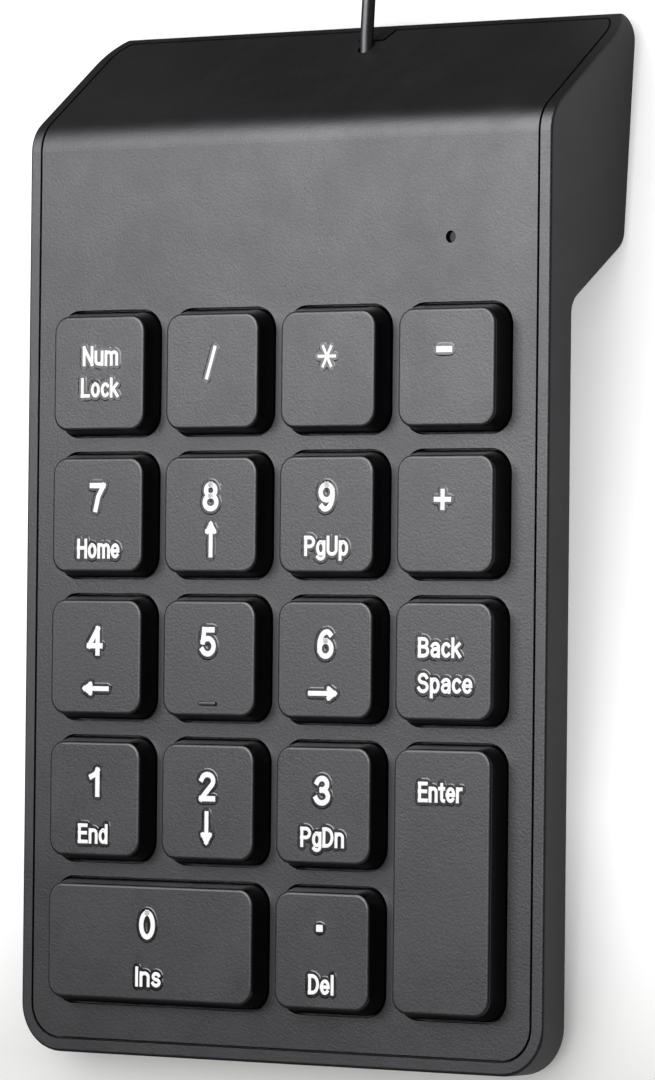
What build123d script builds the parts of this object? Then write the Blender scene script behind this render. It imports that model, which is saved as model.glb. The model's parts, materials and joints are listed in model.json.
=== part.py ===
from build123d import *
import math
import os

# Wired numeric keypad with eighteen low keys on a thin slab and a deep block at the rear.
#
# Two frames are used, both in millimetres.
# The deck frame has z = 0 on the outer face of the key panel, y = 0 at the front edge, y to the
# rear, x = 0 on the middle of the width and z out of the panel. Everything in the case is made in it.
# The row frame stands on the desk: +Z up, +Y to the rear, origin under the middle of the case.
# The deck is tilted by TILT about X to get there.

# ---- driving dimensions: keys ----
KEY_PITCH = 19.0          # from key to key, both ways; the case goes round the keys
COLUMNS = 4
ROWS = 5
PANEL_BAR = 1.8           # bar of the panel between two openings
OPENING_CORNER = 3.2
KEY_GAP = 0.3             # between a key and its opening, each side
KEY_TAPER = 0.7           # how much narrower a key is at its top, each side
KEY_HEIGHT = 2.74         # top of a key above the panel
KEY_WALL = 1.0
KEY_ROOF = 1.2
KEY_EDGE = 0.45           # rounding round the top of a key
HOOK_REACH = 0.8          # how far a key's hooks stand out from its skirt
HOOK_THICK = 0.45
HOOK_LENGTH = 5.0
HOOK_GAP = 0.1            # between a hook and the underside of the panel
PLUNGER_RADIUS = 2.2
PLUNGER_END = -1.0        # height of the end of the plunger, which rests on its dome
BOTTOM_GAP = 0.075        # left under a key's skirt when it is down
FINGER_BAR = (2.9, 0.55, 0.3)   # length, width and height of the raised bar on the middle key
FINGER_BAR_OFFSET = -5.95

# ---- driving dimensions: case ----
SIDE_MARGIN = 5.7         # from the outer openings to the side of the case
FRONT_MARGIN = 6.6        # from the front openings to the front edge
REAR_MARGIN = 24.1        # from the rear openings to the corner where the panel turns down
SLOPE_RUN = 14.8          # from that corner to the rear edge, along the panel
BEND_RADIUS = 5.0
SLAB_DEPTH = 5.1
REAR_DEPTH = 19.55        # underside of the block below the panel, at its rear
BLOCK_RISE = 2.49         # how much less deep the block is at its front
SLAB_REACH = 8.25         # along the panel, from the slab's underside to the block's
FRONT_CORNER = 6.5        # plan radii of the case
REAR_CORNER = 4.5
RIM = 1.75                # width of the tray's wall where it shows round the cover
REAR_RIM = 2.05
SEAM = 0.35
LEDGE = 0.8               # the cover's seat in the tray
COVER_THICK = 1.2
FLOOR = 0.9
EDGE_ROUND = 0.4
REAR_EDGE_ROUND = 0.6
UNDER_ROUND = 3.0         # where the underside turns
TILT = 6.0
GROUND_GAP = 1.1          # front of the block's underside above the desk

# ---- driving dimensions: inside ----
FILM = 0.125              # each of the three membrane films
CONTACT_HOLE_RADIUS = 2.0
SHEET_THICK = 0.3
SHEET_CORNER = 2.0
DOME_RADIUS = 4.4
DOME_TOP_RADIUS = 2.5
DOME_WALL = 0.45
NUB = (1.1, 0.6)          # radius and length of the stud inside a dome
TAIL_WIDTH = 20.0
TAIL_X = -4.0
BOARD_THICK = 1.2
BOARD_MARGIN = 11.8       # from the side of the board to the side of the case
CHIP = (12.8, 5.4, 2.2)   # width, length and height above the board
CHIP_LEGS = 10            # on each long side
LEG_PITCH = 1.27
LEG = (0.4, 1.3, 0.2)     # width, reach and thickness
CAPACITOR = (1.2, 2.0, 1.0)
RESISTOR = (0.9, 1.6, 0.5)
CONNECTOR_X = 12.0
CONNECTOR_SIZE = (9.0, 4.6, 4.4)
CORE_RADIUS = 0.2
FIT = 0.05                # clearance round pins, screws and collars
LOOSE = 0.3
SCREW_CLEARANCE = 0.15    # round the shanks of the case screws
HEAD_CLEARANCE = 0.2
SNAP_CLEARANCE = 0.15
PILOT_DEPTH = 4.5         # of the board screws' holes under the board

# ---- driving dimensions: fasteners, feet and stabilisers ----
SCREW_RADIUS = 1.1
SCREW_HEAD_RADIUS = 1.9
SCREW_HEAD = 1.3
CASE_SCREW_LENGTH = 7.0
CASE_SCREW_BITE = 5.5     # depth of the pilot hole above the posts' meeting face
BOSS_RADIUS = 2.8
BOARD_SCREW_RADIUS = 0.9
BOARD_SCREW_HEAD = (1.6, 0.9)   # radius and height
BOARD_BOSS_RADIUS = 2.2
CLAMP = (28.0, 4.0, 1.2)
CLAMP_SCREW_REACH = 12.0
FOOT_RADIUS = 5.0
FOOT_RECESS = 0.4
WIRE_RADIUS = 0.35
WIRE_ARM = 9.0
WIRE_TURNOUT = 2.4        # length of the wire's ends in the key's lugs
WIRE_END_HEIGHT = -0.9
LUG = (1.0, 2.4)          # thickness and length of an eye under a key
CLIP_SIDE = 2.4
CLIP_SPACING = 14.0
PIN_RADIUS = 0.8
SNAP = (6.0, 0.8, 0.6)    # length, stem and barb of a snap hook
SNAP_OUT = 0.5            # how far its barb reaches into the wall
SNAP_HEIGHT = 0.9         # its lower end above the films

# ---- driving dimensions: indicator ----
LENS_RADIUS = 0.75
LENS_SUNK = 0.5
LENS_FLANGE = (1.55, 0.6)
LED_SIZE = (2.0, 1.3, 0.8)

# ---- driving dimensions: cord ----
CORD_RADIUS = 0.9
CORD_X = 2.7              # the cord's way out of the slope, in the deck frame
CORD_RISE = 5.0           # and its height over the rear underside
NOTCH_HALF = (1.8, 2.4)   # half widths of the notch under the cord
NOTCH_LENGTH = 2.45       # along the slope
COLLAR_LENGTH = 5.0
COLLAR_GROOVE = 1.4
SADDLE_HALF = 4.0
TIE_THICK = 0.4
TIE_HALF = 1.6
COIL_MEAN_RADIUS = 10.8
COIL_ACROSS = 5           # turns side by side
COIL_UP = 4               # layers of turns
COIL_REACH = (16.5, 38.0) # middle of the coil from the cord's exit, and from the case's rear
PLUG_NECK = 8.0
PLUG_NECK_RADII = (1.7, 2.6)
PLUG_BODY = (20.0, 15.4, 7.8)
PLUG_SHELL = (12.0, 12.0, 4.5)
PLUG_SHELL_WALL = 0.3
PLUG_ROOT = 3.0           # how far the shell reaches into the body
PLUG_WINDOW = (2.5, 2.0)
TONGUE = (14.4, 1.8)
CONTACT = (1.0, 0.2)

# ---- the case's sizes, which follow from the keys and the margins ----
OPENING = KEY_PITCH - PANEL_BAR
KEY_SKIRT = OPENING - 2 * KEY_GAP
KEY_DRAFT = math.degrees(math.atan2(KEY_TAPER, KEY_HEIGHT))
KEY_SKIRT_CORNER = OPENING_CORNER - KEY_GAP
CASE_WIDTH = COLUMNS * KEY_PITCH - PANEL_BAR + 2 * SIDE_MARGIN
CASE_HALF = CASE_WIDTH / 2
FRONT_ROW = FRONT_MARGIN + OPENING / 2
KEYS_END = FRONT_MARGIN + ROWS * KEY_PITCH - PANEL_BAR
PANEL_LENGTH = KEYS_END + REAR_MARGIN
CASE_LENGTH = PANEL_LENGTH + SLOPE_RUN
BLOCK_DEPTH = REAR_DEPTH - BLOCK_RISE
SLAB_END = KEYS_END - 0.15
BLOCK_START = SLAB_END + SLAB_REACH
SLOPE = math.degrees(math.atan2(REAR_DEPTH, SLOPE_RUN))
SLOPE_LENGTH = math.hypot(REAR_DEPTH, SLOPE_RUN)
COS, SIN = math.cos(math.radians(SLOPE)), math.sin(math.radians(SLOPE))
WALL = RIM + SEAM + LEDGE   # from the outside of the case to its hollow
TALL = 60.0               # more than any height in the case

# ---- heights and places inside, which follow from the case ----
FLOOR_TOP = -SLAB_DEPTH + FLOOR
FILMS_TOP = FLOOR_TOP + 3 * FILM
SHEET_TOP = FILMS_TOP + SHEET_THICK
HOOK_TOP = -COVER_THICK - HOOK_GAP
SKIRT_END = HOOK_TOP - HOOK_THICK
KEY_TRAVEL = SKIRT_END - SHEET_TOP - BOTTOM_GAP
SHEET_SIDE = CASE_HALF - WALL - 1.5
SHEET_FRONT = FRONT_MARGIN - 2.0
SHEET_REAR = KEYS_END + 1.8
TAIL_END = KEYS_END + 10.7
BOARD_TOP = FLOOR_TOP
BOARD_UNDER = BOARD_TOP - BOARD_THICK
BOARD_FRONT = KEYS_END + 3.8
BOARD = (CASE_WIDTH - 2 * BOARD_MARGIN, REAR_MARGIN - 6.6, BOARD_THICK)
BOARD_REAR = BOARD_FRONT + BOARD[1]
CLAMP_Y = KEYS_END + 8.2
BOARD_SCREW_SPOTS = [(side * (BOARD[0] / 2 - 3.5), BOARD_REAR - 3.6) for side in (-1, 1)]
CHIP_PLACE = (13.0 - BOARD[0] / 2, BOARD_REAR - 5.8)
LED_X = CASE_HALF - 15.7
LED_Y = KEYS_END + 8.4
CAPACITOR_SPOTS = [(-3.0, BOARD_REAR - 6.1), (1.0, BOARD_REAR - 6.1), (LED_X - 6.6, BOARD_REAR - 8.1)]
RESISTOR_SPOTS = [(LED_X - 4.6, LED_Y), (LED_X - 7.1, LED_Y),
                  (2.5 - BOARD[0] / 2, CLAMP_Y), (5.5 - BOARD[0] / 2, CLAMP_Y)]
BOSS_SPLIT = 6.06 - BLOCK_DEPTH   # height where the cover's posts meet the tray's bosses
SCREW_SEAT = BOSS_SPLIT - 2.0     # height of the screw heads' seats inside the tray's bosses
CASE_SCREW_SPOTS = [(side * (CASE_HALF - 7.6), y) for y in (KEYS_END + 11.7, PANEL_LENGTH + 0.6)
                    for side in (-1, 1)]
FOOT_SPOTS = {"front_left": (9.8 - CASE_HALF, FRONT_MARGIN + 2.4),
              "front_right": (CASE_HALF - 9.8, FRONT_MARGIN + 2.4),
              "rear_left": (13.8 - CASE_HALF, CASE_LENGTH - 20.7),
              "rear_right": (CASE_HALF - 13.8, CASE_LENGTH - 20.7)}
WIRE_SPAN = KEY_PITCH + 5.0
WIRE_OFFSET = KEY_SKIRT / 2 - KEY_WALL - 1.4   # the wire's pivot from the middle of its key
HOOK_SPOTS = [(side, FRONT_ROW + rows * KEY_PITCH) for side in (-1, 1) for rows in (0.5, 2, 3.5)]
HOOK_FACE = CASE_HALF - WALL - 2 * FIT
CORD_Z = CORD_RISE - REAR_DEPTH
CORD_HOLE_RADIUS = CORD_RADIUS + 0.25
COLLAR_RADIUS = CORD_RADIUS + 1.3
GROOVE_RADIUS = CORD_RADIUS + 0.6
COLLAR_REAR = CASE_LENGTH - SLOPE_RUN * CORD_RISE / REAR_DEPTH - 3.915
CONNECTOR = (CONNECTOR_X, CASE_LENGTH - 23.2)
CONNECTOR_UNDER = BOARD_UNDER - CONNECTOR_SIZE[2]
INNER_JACKET_END = (CONNECTOR_X - 3.8, CONNECTOR[1] + 2.0, (CONNECTOR_UNDER - BLOCK_DEPTH) / 2 - 0.17)

UNDERSIDE = [(0, -SLAB_DEPTH), (SLAB_END, -SLAB_DEPTH),
             (BLOCK_START, -BLOCK_DEPTH), (CASE_LENGTH, -REAR_DEPTH)]


def row_height(y, z):
    """Height that tilting alone gives a point of the deck frame."""
    return y * math.sin(math.radians(TILT)) + z * math.cos(math.radians(TILT))


def row_depth(y, z):
    """Distance to the rear that tilting alone gives a point of the deck frame."""
    return y * math.cos(math.radians(TILT)) - z * math.sin(math.radians(TILT))


DECK = Location(
    (0, -row_depth(CASE_LENGTH, -REAR_DEPTH) / 2,
     GROUND_GAP - row_height(BLOCK_START, -BLOCK_DEPTH)),
    (TILT, 0, 0),
)

# name: (first column, first row, columns, rows); row 0 is the rear row
KEYS = {
    "key_num_lock": (0, 0, 1, 1), "key_divide": (1, 0, 1, 1),
    "key_multiply": (2, 0, 1, 1), "key_subtract": (3, 0, 1, 1),
    "key_7": (0, 1, 1, 1), "key_8": (1, 1, 1, 1), "key_9": (2, 1, 1, 1), "key_add": (3, 1, 1, 1),
    "key_4": (0, 2, 1, 1), "key_5": (1, 2, 1, 1), "key_6": (2, 2, 1, 1),
    "key_backspace": (3, 2, 1, 1),
    "key_1": (0, 3, 1, 1), "key_2": (1, 3, 1, 1), "key_3": (2, 3, 1, 1),
    "key_enter": (3, 3, 1, 2), "key_0": (0, 4, 2, 1), "key_decimal": (2, 4, 1, 1),
}


# ---------------------------------------------------------------- helpers

def save(name, solids, place=DECK):
    """Write one node, in the row frame, from one solid or a list of separate solids."""
    pieces = []
    for item in solids if isinstance(solids, (list, tuple)) else [solids]:
        pieces += (place * item).solids()
    shape = pieces[0] if len(pieces) == 1 else Compound(children=pieces)
    export_step(shape, f"parts/{name}.step")


def block(low, high):
    """A box between two corners."""
    size = [b - a for a, b in zip(low, high)]
    return Pos(*low) * Box(*size, align=(Align.MIN, Align.MIN, Align.MIN))


def peg(x, y, low, high, radius):
    """An upright cylinder."""
    return Pos(x, y, low) * Cylinder(radius, high - low, align=(Align.CENTER, Align.CENTER, Align.MIN))


def rounded_box(width, length, corner, low, high, x=0.0, y=0.0):
    """A box with rounded upright edges."""
    return Pos(x, y, low) * extrude(RectangleRounded(width, length, corner), high - low)


def rounded_outline(points, radii):
    """A closed face with the corner at each point rounded by its radius."""
    outline = make_face(Polyline(*points, close=True))
    for point, radius in zip(points, radii):
        if radius > 0:
            corner = outline.vertices().sort_by_distance(Vector(*point))[0]
            outline = fillet(corner, radius)
    return outline


def across(profile):
    """A face drawn in y and z, carried over the whole width of the case."""
    return extrude(Plane.YZ * profile, CASE_WIDTH, both=True)


def slope_point(along, depth=0.0):
    """The point (y, z) that far down the slope from the bend, and that deep under its face."""
    return (PANEL_LENGTH + along * COS - depth * SIN, -along * SIN - depth * COS)


def bent_path(front, depth, rear_gap):
    """Panel, bend and slope as one line, sunk by depth, ending rear_gap short of the rear edge."""
    corner = (PANEL_LENGTH - depth * math.tan(math.radians(SLOPE / 2)), -depth)
    return FilletPolyline((front, -depth), corner, slope_point(SLOPE_LENGTH - rear_gap, depth),
                          radius=BEND_RADIUS - depth)


def bent_plate(front, top, bottom, rear_gap):
    """The solid between two sunk copies of the panel and slope."""
    upper, lower = bent_path(front, top, rear_gap), bent_path(front, bottom, rear_gap)
    ends = [Line(upper @ 1, lower @ 1), Line(lower @ 0, upper @ 0)]
    return across(make_face([*upper.edges(), *lower.edges(), *ends]))


def plan_prism(inset):
    """An upright prism on the plan of the case, inset all round."""
    half, front, rear = CASE_HALF - inset, inset, CASE_LENGTH - inset * COS
    corners = [(-half, front), (half, front), (half, rear), (-half, rear)]
    radii = [max(r - inset, 0.6) for r in (FRONT_CORNER, FRONT_CORNER, REAR_CORNER, REAR_CORNER)]
    return Pos(0, 0, -TALL / 2) * extrude(rounded_outline(corners, radii), TALL)


def inset_corner(before, corner, after, distance):
    """The corner of a line bent at corner, moved to its left by distance."""
    a = Vector(*corner) - Vector(*before)
    b = Vector(*after) - Vector(*corner)
    a, b = a.normalized(), b.normalized()
    left_a, left_b = Vector(-a.Y, a.X), Vector(-b.Y, b.X)
    middle = (left_a + left_b).normalized()
    moved = Vector(*corner) + middle * (distance / middle.dot(left_a))
    return (moved.X, moved.Y)


def key_centre(name):
    """The middle of a key in plan, and its size in units."""
    column, row, wide, long = KEYS[name]
    x = (column + (wide - 1) / 2 - (COLUMNS - 1) / 2) * KEY_PITCH
    y = FRONT_ROW + (ROWS - 1 - row - (long - 1) / 2) * KEY_PITCH
    return x, y, wide, long


def spread(size, units):
    """A one-unit size carried over several units."""
    return size + (units - 1) * KEY_PITCH


def underside_location(x, y):
    """A place on the case's underside, with z along its outward normal turned inwards."""
    for (y0, z0), (y1, z1) in zip(UNDERSIDE, UNDERSIDE[1:]):
        if y0 <= y <= y1:
            share = (y - y0) / (y1 - y0)
            angle = math.degrees(math.atan2(z1 - z0, y1 - y0))
            return Location((x, y, z0 + share * (z1 - z0)), (angle, 0, 0))


def screw(radius, length, head_radius, head, socket=0.5):
    """A screw with its head's top at z = 0 and its shank pointing to -z."""
    body = peg(0, 0, -head, 0, head_radius) + peg(0, 0, -head - length, -head, radius)
    body = fillet(body.edges().filter_by(GeomType.CIRCLE).group_by(Axis.Z)[-1], head * 0.3)
    bar = Box(head_radius * 1.1, head_radius * 0.3, 2 * socket)
    return body - bar - Rot(0, 0, 90) * bar


# ---------------------------------------------------------------- case

def outer_solid():
    """The outside of the closed case."""
    points = [*UNDERSIDE, (PANEL_LENGTH, 0), (0, 0)]
    radii = [0, UNDER_ROUND, UNDER_ROUND, REAR_EDGE_ROUND, BEND_RADIUS, 0]
    body = across(rounded_outline(points, radii)) & plan_prism(0)
    rim = [e for e in body.edges() if abs(e.center().X) > CASE_HALF - FRONT_CORNER
           or e.center().Y < FRONT_CORNER]
    rim = [e for e in rim if abs((e @ 0).Z) < 1e-4 and abs((e @ 1).Z) < 1e-4]
    return body, rim


def key_openings():
    """The prisms that pierce the panel, one for each key."""
    tools = []
    for name in KEYS:
        x, y, wide, long = key_centre(name)
        tools.append(rounded_box(spread(OPENING, wide), spread(OPENING, long), OPENING_CORNER,
                                 -COVER_THICK - 1, 1, x, y))
    return tools


def notch(grow):
    """The tapered bay in the cover's rear edge, under the cord."""
    start = SLOPE_LENGTH - REAR_RIM - NOTCH_LENGTH - grow
    near, far = slope_point(start)[0], CASE_LENGTH + 5
    widen = (NOTCH_HALF[1] - NOTCH_HALF[0]) / (NOTCH_LENGTH * COS)
    half = [NOTCH_HALF[0] + grow, NOTCH_HALF[0] + grow + widen * (far - near)]
    points = [(CORD_X - half[0], near), (CORD_X + half[0], near),
              (CORD_X + half[1], far), (CORD_X - half[1], far)]
    return Pos(0, 0, -TALL / 2) * extrude(make_face(Polyline(*points, close=True)), TALL)


def cord_bore():
    """The way out for the cord, straight to the rear."""
    return Pos(CORD_X, COLLAR_REAR, CORD_Z) * Rot(-90, 0, 0) * Cylinder(
        CORD_HOLE_RADIUS, 20, align=(Align.CENTER, Align.CENTER, Align.MIN))


def snap_hook(side, y, grow=0.0):
    """A hook under the cover's edge that snaps into a pocket of the tray's wall."""
    low, high = FILMS_TOP + SNAP_HEIGHT - grow, -COVER_THICK
    length, thick, barb_height = SNAP
    front, rear = y - length / 2 - grow, y + length / 2 + grow
    stem = block((HOOK_FACE - thick, front, low), (HOOK_FACE, rear, high))
    barb = block((HOOK_FACE - thick / 2, front, low),
                 (HOOK_FACE + SNAP_OUT + grow, rear, low + barb_height + 2 * grow))
    hook = stem + barb
    return hook if side > 0 else mirror(hook, about=Plane.YZ)


def top_cover():
    """Panel and slope in one moulding, with the key openings, screw posts and snap hooks."""
    plate = bent_plate(-5, 0, COVER_THICK, REAR_RIM + SEAM) & plan_prism(RIM + SEAM)
    plate = plate - key_openings()
    plate = plate - notch(SEAM)
    plate = plate - cord_bore()
    outside, _ = outer_solid()
    for x, y in CASE_SCREW_SPOTS:
        plate = plate + (peg(x, y, BOSS_SPLIT, 0, BOSS_RADIUS) & outside)
        plate = plate - peg(x, y, BOSS_SPLIT - 1, BOSS_SPLIT + CASE_SCREW_BITE, SCREW_RADIUS + FIT)
    for side, y in HOOK_SPOTS:
        plate = plate + snap_hook(side, y)
    plate = plate - peg(LED_X, LED_Y, -COVER_THICK - 1, 1, LENS_RADIUS + FIT)
    return plate


def bottom_case():
    """The tray: rim, floor, rear block, bosses, clips for the wires and the cord's saddle."""
    outside, rim = outer_solid()
    tray = fillet(rim, EDGE_ROUND)
    pocket = bent_plate(-5, -TALL / 2, COVER_THICK, REAR_RIM) & plan_prism(RIM)
    pocket = pocket - notch(0)
    tray = tray - pocket
    ledge_end = SLOPE_LENGTH - REAR_RIM - SEAM - LEDGE
    corner = inset_corner(UNDERSIDE[0], UNDERSIDE[1], UNDERSIDE[2], FLOOR)
    foot = inset_corner(UNDERSIDE[1], UNDERSIDE[2], UNDERSIDE[3], FLOOR)
    seat = slope_point(ledge_end, COVER_THICK)
    rear = inset_corner(UNDERSIDE[2], UNDERSIDE[3], (CASE_LENGTH + 30, -REAR_DEPTH), FLOOR)
    share = (seat[0] - foot[0]) / (rear[0] - foot[0])
    low_rear = (seat[0], foot[1] + share * (rear[1] - foot[1]))
    hollow = across(make_face(Polyline(
        (-5, FLOOR_TOP), corner, foot, low_rear, seat, slope_point(ledge_end, -5),
        (PANEL_LENGTH + 10, 5), (-5, 5), close=True)))
    hollow = (hollow & plan_prism(WALL)) - (notch(0) & block(
        (-TALL, seat[0] - 1.5, -TALL), (TALL, CASE_LENGTH, TALL)))
    tray = tray - hollow
    for x, y in CASE_SCREW_SPOTS:
        tray = tray + (peg(x, y, -TALL / 2, BOSS_SPLIT, BOSS_RADIUS) & outside)
    for x, y in BOARD_SCREW_SPOTS + clamp_screw_spots():
        tray = tray + (peg(x, y, -TALL / 2, BOARD_UNDER, BOARD_BOSS_RADIUS) & outside)
        tray = tray - peg(x, y, BOARD_UNDER - PILOT_DEPTH, 0, BOARD_SCREW_RADIUS + FIT)
    for x, y in CASE_SCREW_SPOTS:
        tray = tray - peg(x, y, -TALL / 2, BOSS_SPLIT + 1, SCREW_RADIUS + SCREW_CLEARANCE)
        tray = tray - peg(x, y, -TALL / 2, SCREW_SEAT, SCREW_HEAD_RADIUS + HEAD_CLEARANCE)
    for x, y in locating_pins():
        tray = tray + peg(x, y, FLOOR_TOP - FLOOR / 2, SHEET_TOP, PIN_RADIUS)
    for name, quarter in STABILISED.items():
        for post in wire_clips(name, quarter):
            tray = tray + post
    for side, y in HOOK_SPOTS:
        pocket_side = snap_hook(side, y, grow=SNAP_CLEARANCE) & block(
            (-TALL, 0, -TALL), (TALL, TALL * 3, -COVER_THICK - 0.6))
        tray = tray - pocket_side
    rib_y, rib_half = COLLAR_REAR - COLLAR_LENGTH / 2, COLLAR_GROOVE / 2 - FIT
    saddle = block((CORD_X - SADDLE_HALF, rib_y - rib_half, -TALL / 2),
                   (CORD_X + SADDLE_HALF, rib_y + rib_half, CORD_Z + 0.3)) & outside
    slot = peg(0, 0, -TALL, TALL, GROOVE_RADIUS + FIT)
    tray = tray + (saddle - Pos(CORD_X, rib_y, CORD_Z) * Rot(90, 0, 0) * slot)
    tray = tray - cord_bore()
    for x, y in FOOT_SPOTS.values():
        tray = tray - underside_location(x, y) * peg(0, 0, -5, FOOT_RECESS, FOOT_RADIUS + FIT)
    return tray


def rubber_foot(x, y):
    """A foot bonded in its recess and ground flat where it meets the desk."""
    disc = DECK * underside_location(x, y) * peg(0, 0, -8, FOOT_RECESS, FOOT_RADIUS)
    return disc & block((-TALL * 2, -TALL * 3, 0), (TALL * 2, TALL * 3, TALL))


# ---------------------------------------------------------------- keys

def keycap(name):
    """A hollow cap with a skirt in its opening, hooks under the panel and a plunger."""
    x, y, wide, long = key_centre(name)
    width, length = spread(KEY_SKIRT, wide), spread(KEY_SKIRT, long)
    outline = RectangleRounded(width, length, KEY_SKIRT_CORNER)
    cap = extrude(outline, KEY_HEIGHT, taper=KEY_DRAFT)
    cap = fillet(cap.faces().sort_by(Axis.Z)[-1].edges(), KEY_EDGE)
    cap = cap + rounded_box(width, length, KEY_SKIRT_CORNER, SKIRT_END, 0)
    cap = cap - rounded_box(width - 2 * KEY_WALL, length - 2 * KEY_WALL,
                            KEY_SKIRT_CORNER - KEY_WALL, SKIRT_END - 1, KEY_HEIGHT - KEY_ROOF)
    cap = cap + peg(0, 0, PLUNGER_END, KEY_HEIGHT - KEY_ROOF / 2, PLUNGER_RADIUS)
    reach = width / 2 + HOOK_REACH
    for unit in range(long):
        middle = (unit - (long - 1) / 2) * KEY_PITCH
        for side in (-1, 1):
            edge = side * (width / 2 - KEY_WALL / 2)
            tip = side * reach
            cap = cap + block((min(edge, tip), middle - HOOK_LENGTH / 2, SKIRT_END),
                              (max(edge, tip), middle + HOOK_LENGTH / 2, HOOK_TOP))
    if name in STABILISED:
        for lug in wire_lugs():
            cap = cap + Rot(0, 0, STABILISED[name]) * lug
    if name == "key_5":
        bar = Pos(0, FINGER_BAR_OFFSET, KEY_HEIGHT + FINGER_BAR[2] / 2 - 0.05) * Box(
            FINGER_BAR[0], FINGER_BAR[1], FINGER_BAR[2] + 0.1)
        bar = fillet(bar.edges().filter_by(Axis.Z), FINGER_BAR[1] * 0.4)
        cap = cap + fillet(bar.edges().group_by(Axis.Z)[-1], FINGER_BAR[1] * 0.35)
    return Pos(x, y, 0) * cap


# Long keys and the quarter turn of their stabiliser, whose pivot lies along its own x.
STABILISED = {"key_0": 0, "key_enter": 90}
WIRE_PIVOT_HEIGHT = WIRE_END_HEIGHT - KEY_TRAVEL / 2
WIRE_REST_ANGLE = math.degrees(math.asin(KEY_TRAVEL / 2 / WIRE_ARM))


def wire_end():
    """Where the wire's hooked end is at rest, in y and z from the middle of its key."""
    reach = WIRE_ARM * math.cos(math.radians(WIRE_REST_ANGLE))
    return -WIRE_OFFSET + reach, WIRE_END_HEIGHT


def stabiliser_wire(name):
    """A steel wire bent to a wide U, with its ends turned out into the key's lugs."""
    y, z = wire_end()
    half = WIRE_SPAN / 2
    tip = half + WIRE_TURNOUT
    points = [(-tip, y, z), (-half, y, z), (-half, -WIRE_OFFSET, WIRE_PIVOT_HEIGHT),
              (half, -WIRE_OFFSET, WIRE_PIVOT_HEIGHT), (half, y, z), (tip, y, z)]
    path = FilletPolyline(*points, radius=3 * WIRE_RADIUS)
    wire = sweep(Plane(origin=path @ 0, z_dir=path % 0) * Circle(WIRE_RADIUS), path=path)
    x, y, _, _ = key_centre(name)
    return Pos(x, y, 0) * Rot(0, 0, STABILISED[name]) * wire


def wire_lugs():
    """The two eyes under a long key that carry the ends of its wire."""
    y, z = wire_end()
    eyes = []
    for side in (-1, 1):
        x = side * (WIRE_SPAN / 2 + WIRE_TURNOUT * 2 / 3)
        lug = block((x - LUG[0] / 2, y - LUG[1] / 2, SKIRT_END),
                    (x + LUG[0] / 2, y + LUG[1] / 2, KEY_HEIGHT - KEY_ROOF / 2))
        hole = Pos(x, y, z) * Rot(0, 90, 0) * Cylinder(WIRE_RADIUS + 2 * FIT, 3 * LUG[0])
        eyes.append(lug - hole)
    return eyes


def clip_spots():
    """Where the clips stand, from the middle of their key."""
    return [(side * CLIP_SPACING / 2, -WIRE_OFFSET) for side in (-1, 1)]


def wire_clips(name, quarter):
    """The posts on the tray that the wire turns in."""
    x, y, _, _ = key_centre(name)
    posts = []
    for px, py in clip_spots():
        top = WIRE_PIVOT_HEIGHT + WIRE_RADIUS + 0.4
        post = block((px - CLIP_SIDE / 2, py - CLIP_SIDE / 2, FLOOR_TOP - FLOOR / 2),
                     (px + CLIP_SIDE / 2, py + CLIP_SIDE / 2, top))
        hole = Pos(px, py, WIRE_PIVOT_HEIGHT) * Rot(0, 90, 0) * Cylinder(WIRE_RADIUS + FIT, 2 * CLIP_SIDE)
        posts.append(Pos(x, y, 0) * Rot(0, 0, quarter) * (post - hole))
    return posts


# ---------------------------------------------------------------- membrane and domes

def locating_pins():
    """Pins of the tray that line up the films and the dome sheet, between the keys."""
    return [(x, FRONT_ROW + KEY_PITCH * rows) for x in (-KEY_PITCH, KEY_PITCH) for rows in (1.5, 3.5)]


def sheet_holes(low, high):
    """Holes for the pins and for the wires' clips, through everything that lies on the floor."""
    tools = [peg(x, y, low, high, PIN_RADIUS + 0.1) for x, y in locating_pins()]
    for name, quarter in STABILISED.items():
        x, y, _, _ = key_centre(name)
        for px, py in clip_spots():
            side = CLIP_SIDE / 2 + LOOSE
            hole = block((px - side, py - side, low), (px + side, py + side, high))
            tools.append(Pos(x, y, 0) * Rot(0, 0, quarter) * hole)
    return tools


def sheet(low, high, tail=False):
    """A flat layer over the floor of the slab, with or without the tail to the circuit board."""
    width, length = 2 * SHEET_SIDE, SHEET_REAR - SHEET_FRONT
    layer = rounded_box(width, length, SHEET_CORNER, low, high, 0, SHEET_FRONT + length / 2)
    if tail:
        layer = layer + block((TAIL_X - TAIL_WIDTH / 2, SHEET_REAR - 3, low),
                              (TAIL_X + TAIL_WIDTH / 2, TAIL_END, high))
    return layer - sheet_holes(low - 1, high + 1)


def membrane_film(level, with_holes=False):
    """One of the three films, counted from the floor; the spacer has a hole under each dome."""
    low = FLOOR_TOP + level * FILM
    film = sheet(low, low + FILM, tail=True)
    if with_holes:
        film = film - [peg(*key_centre(n)[:2], low - 1, low + 1, CONTACT_HOLE_RADIUS) for n in KEYS]
    return film


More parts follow.
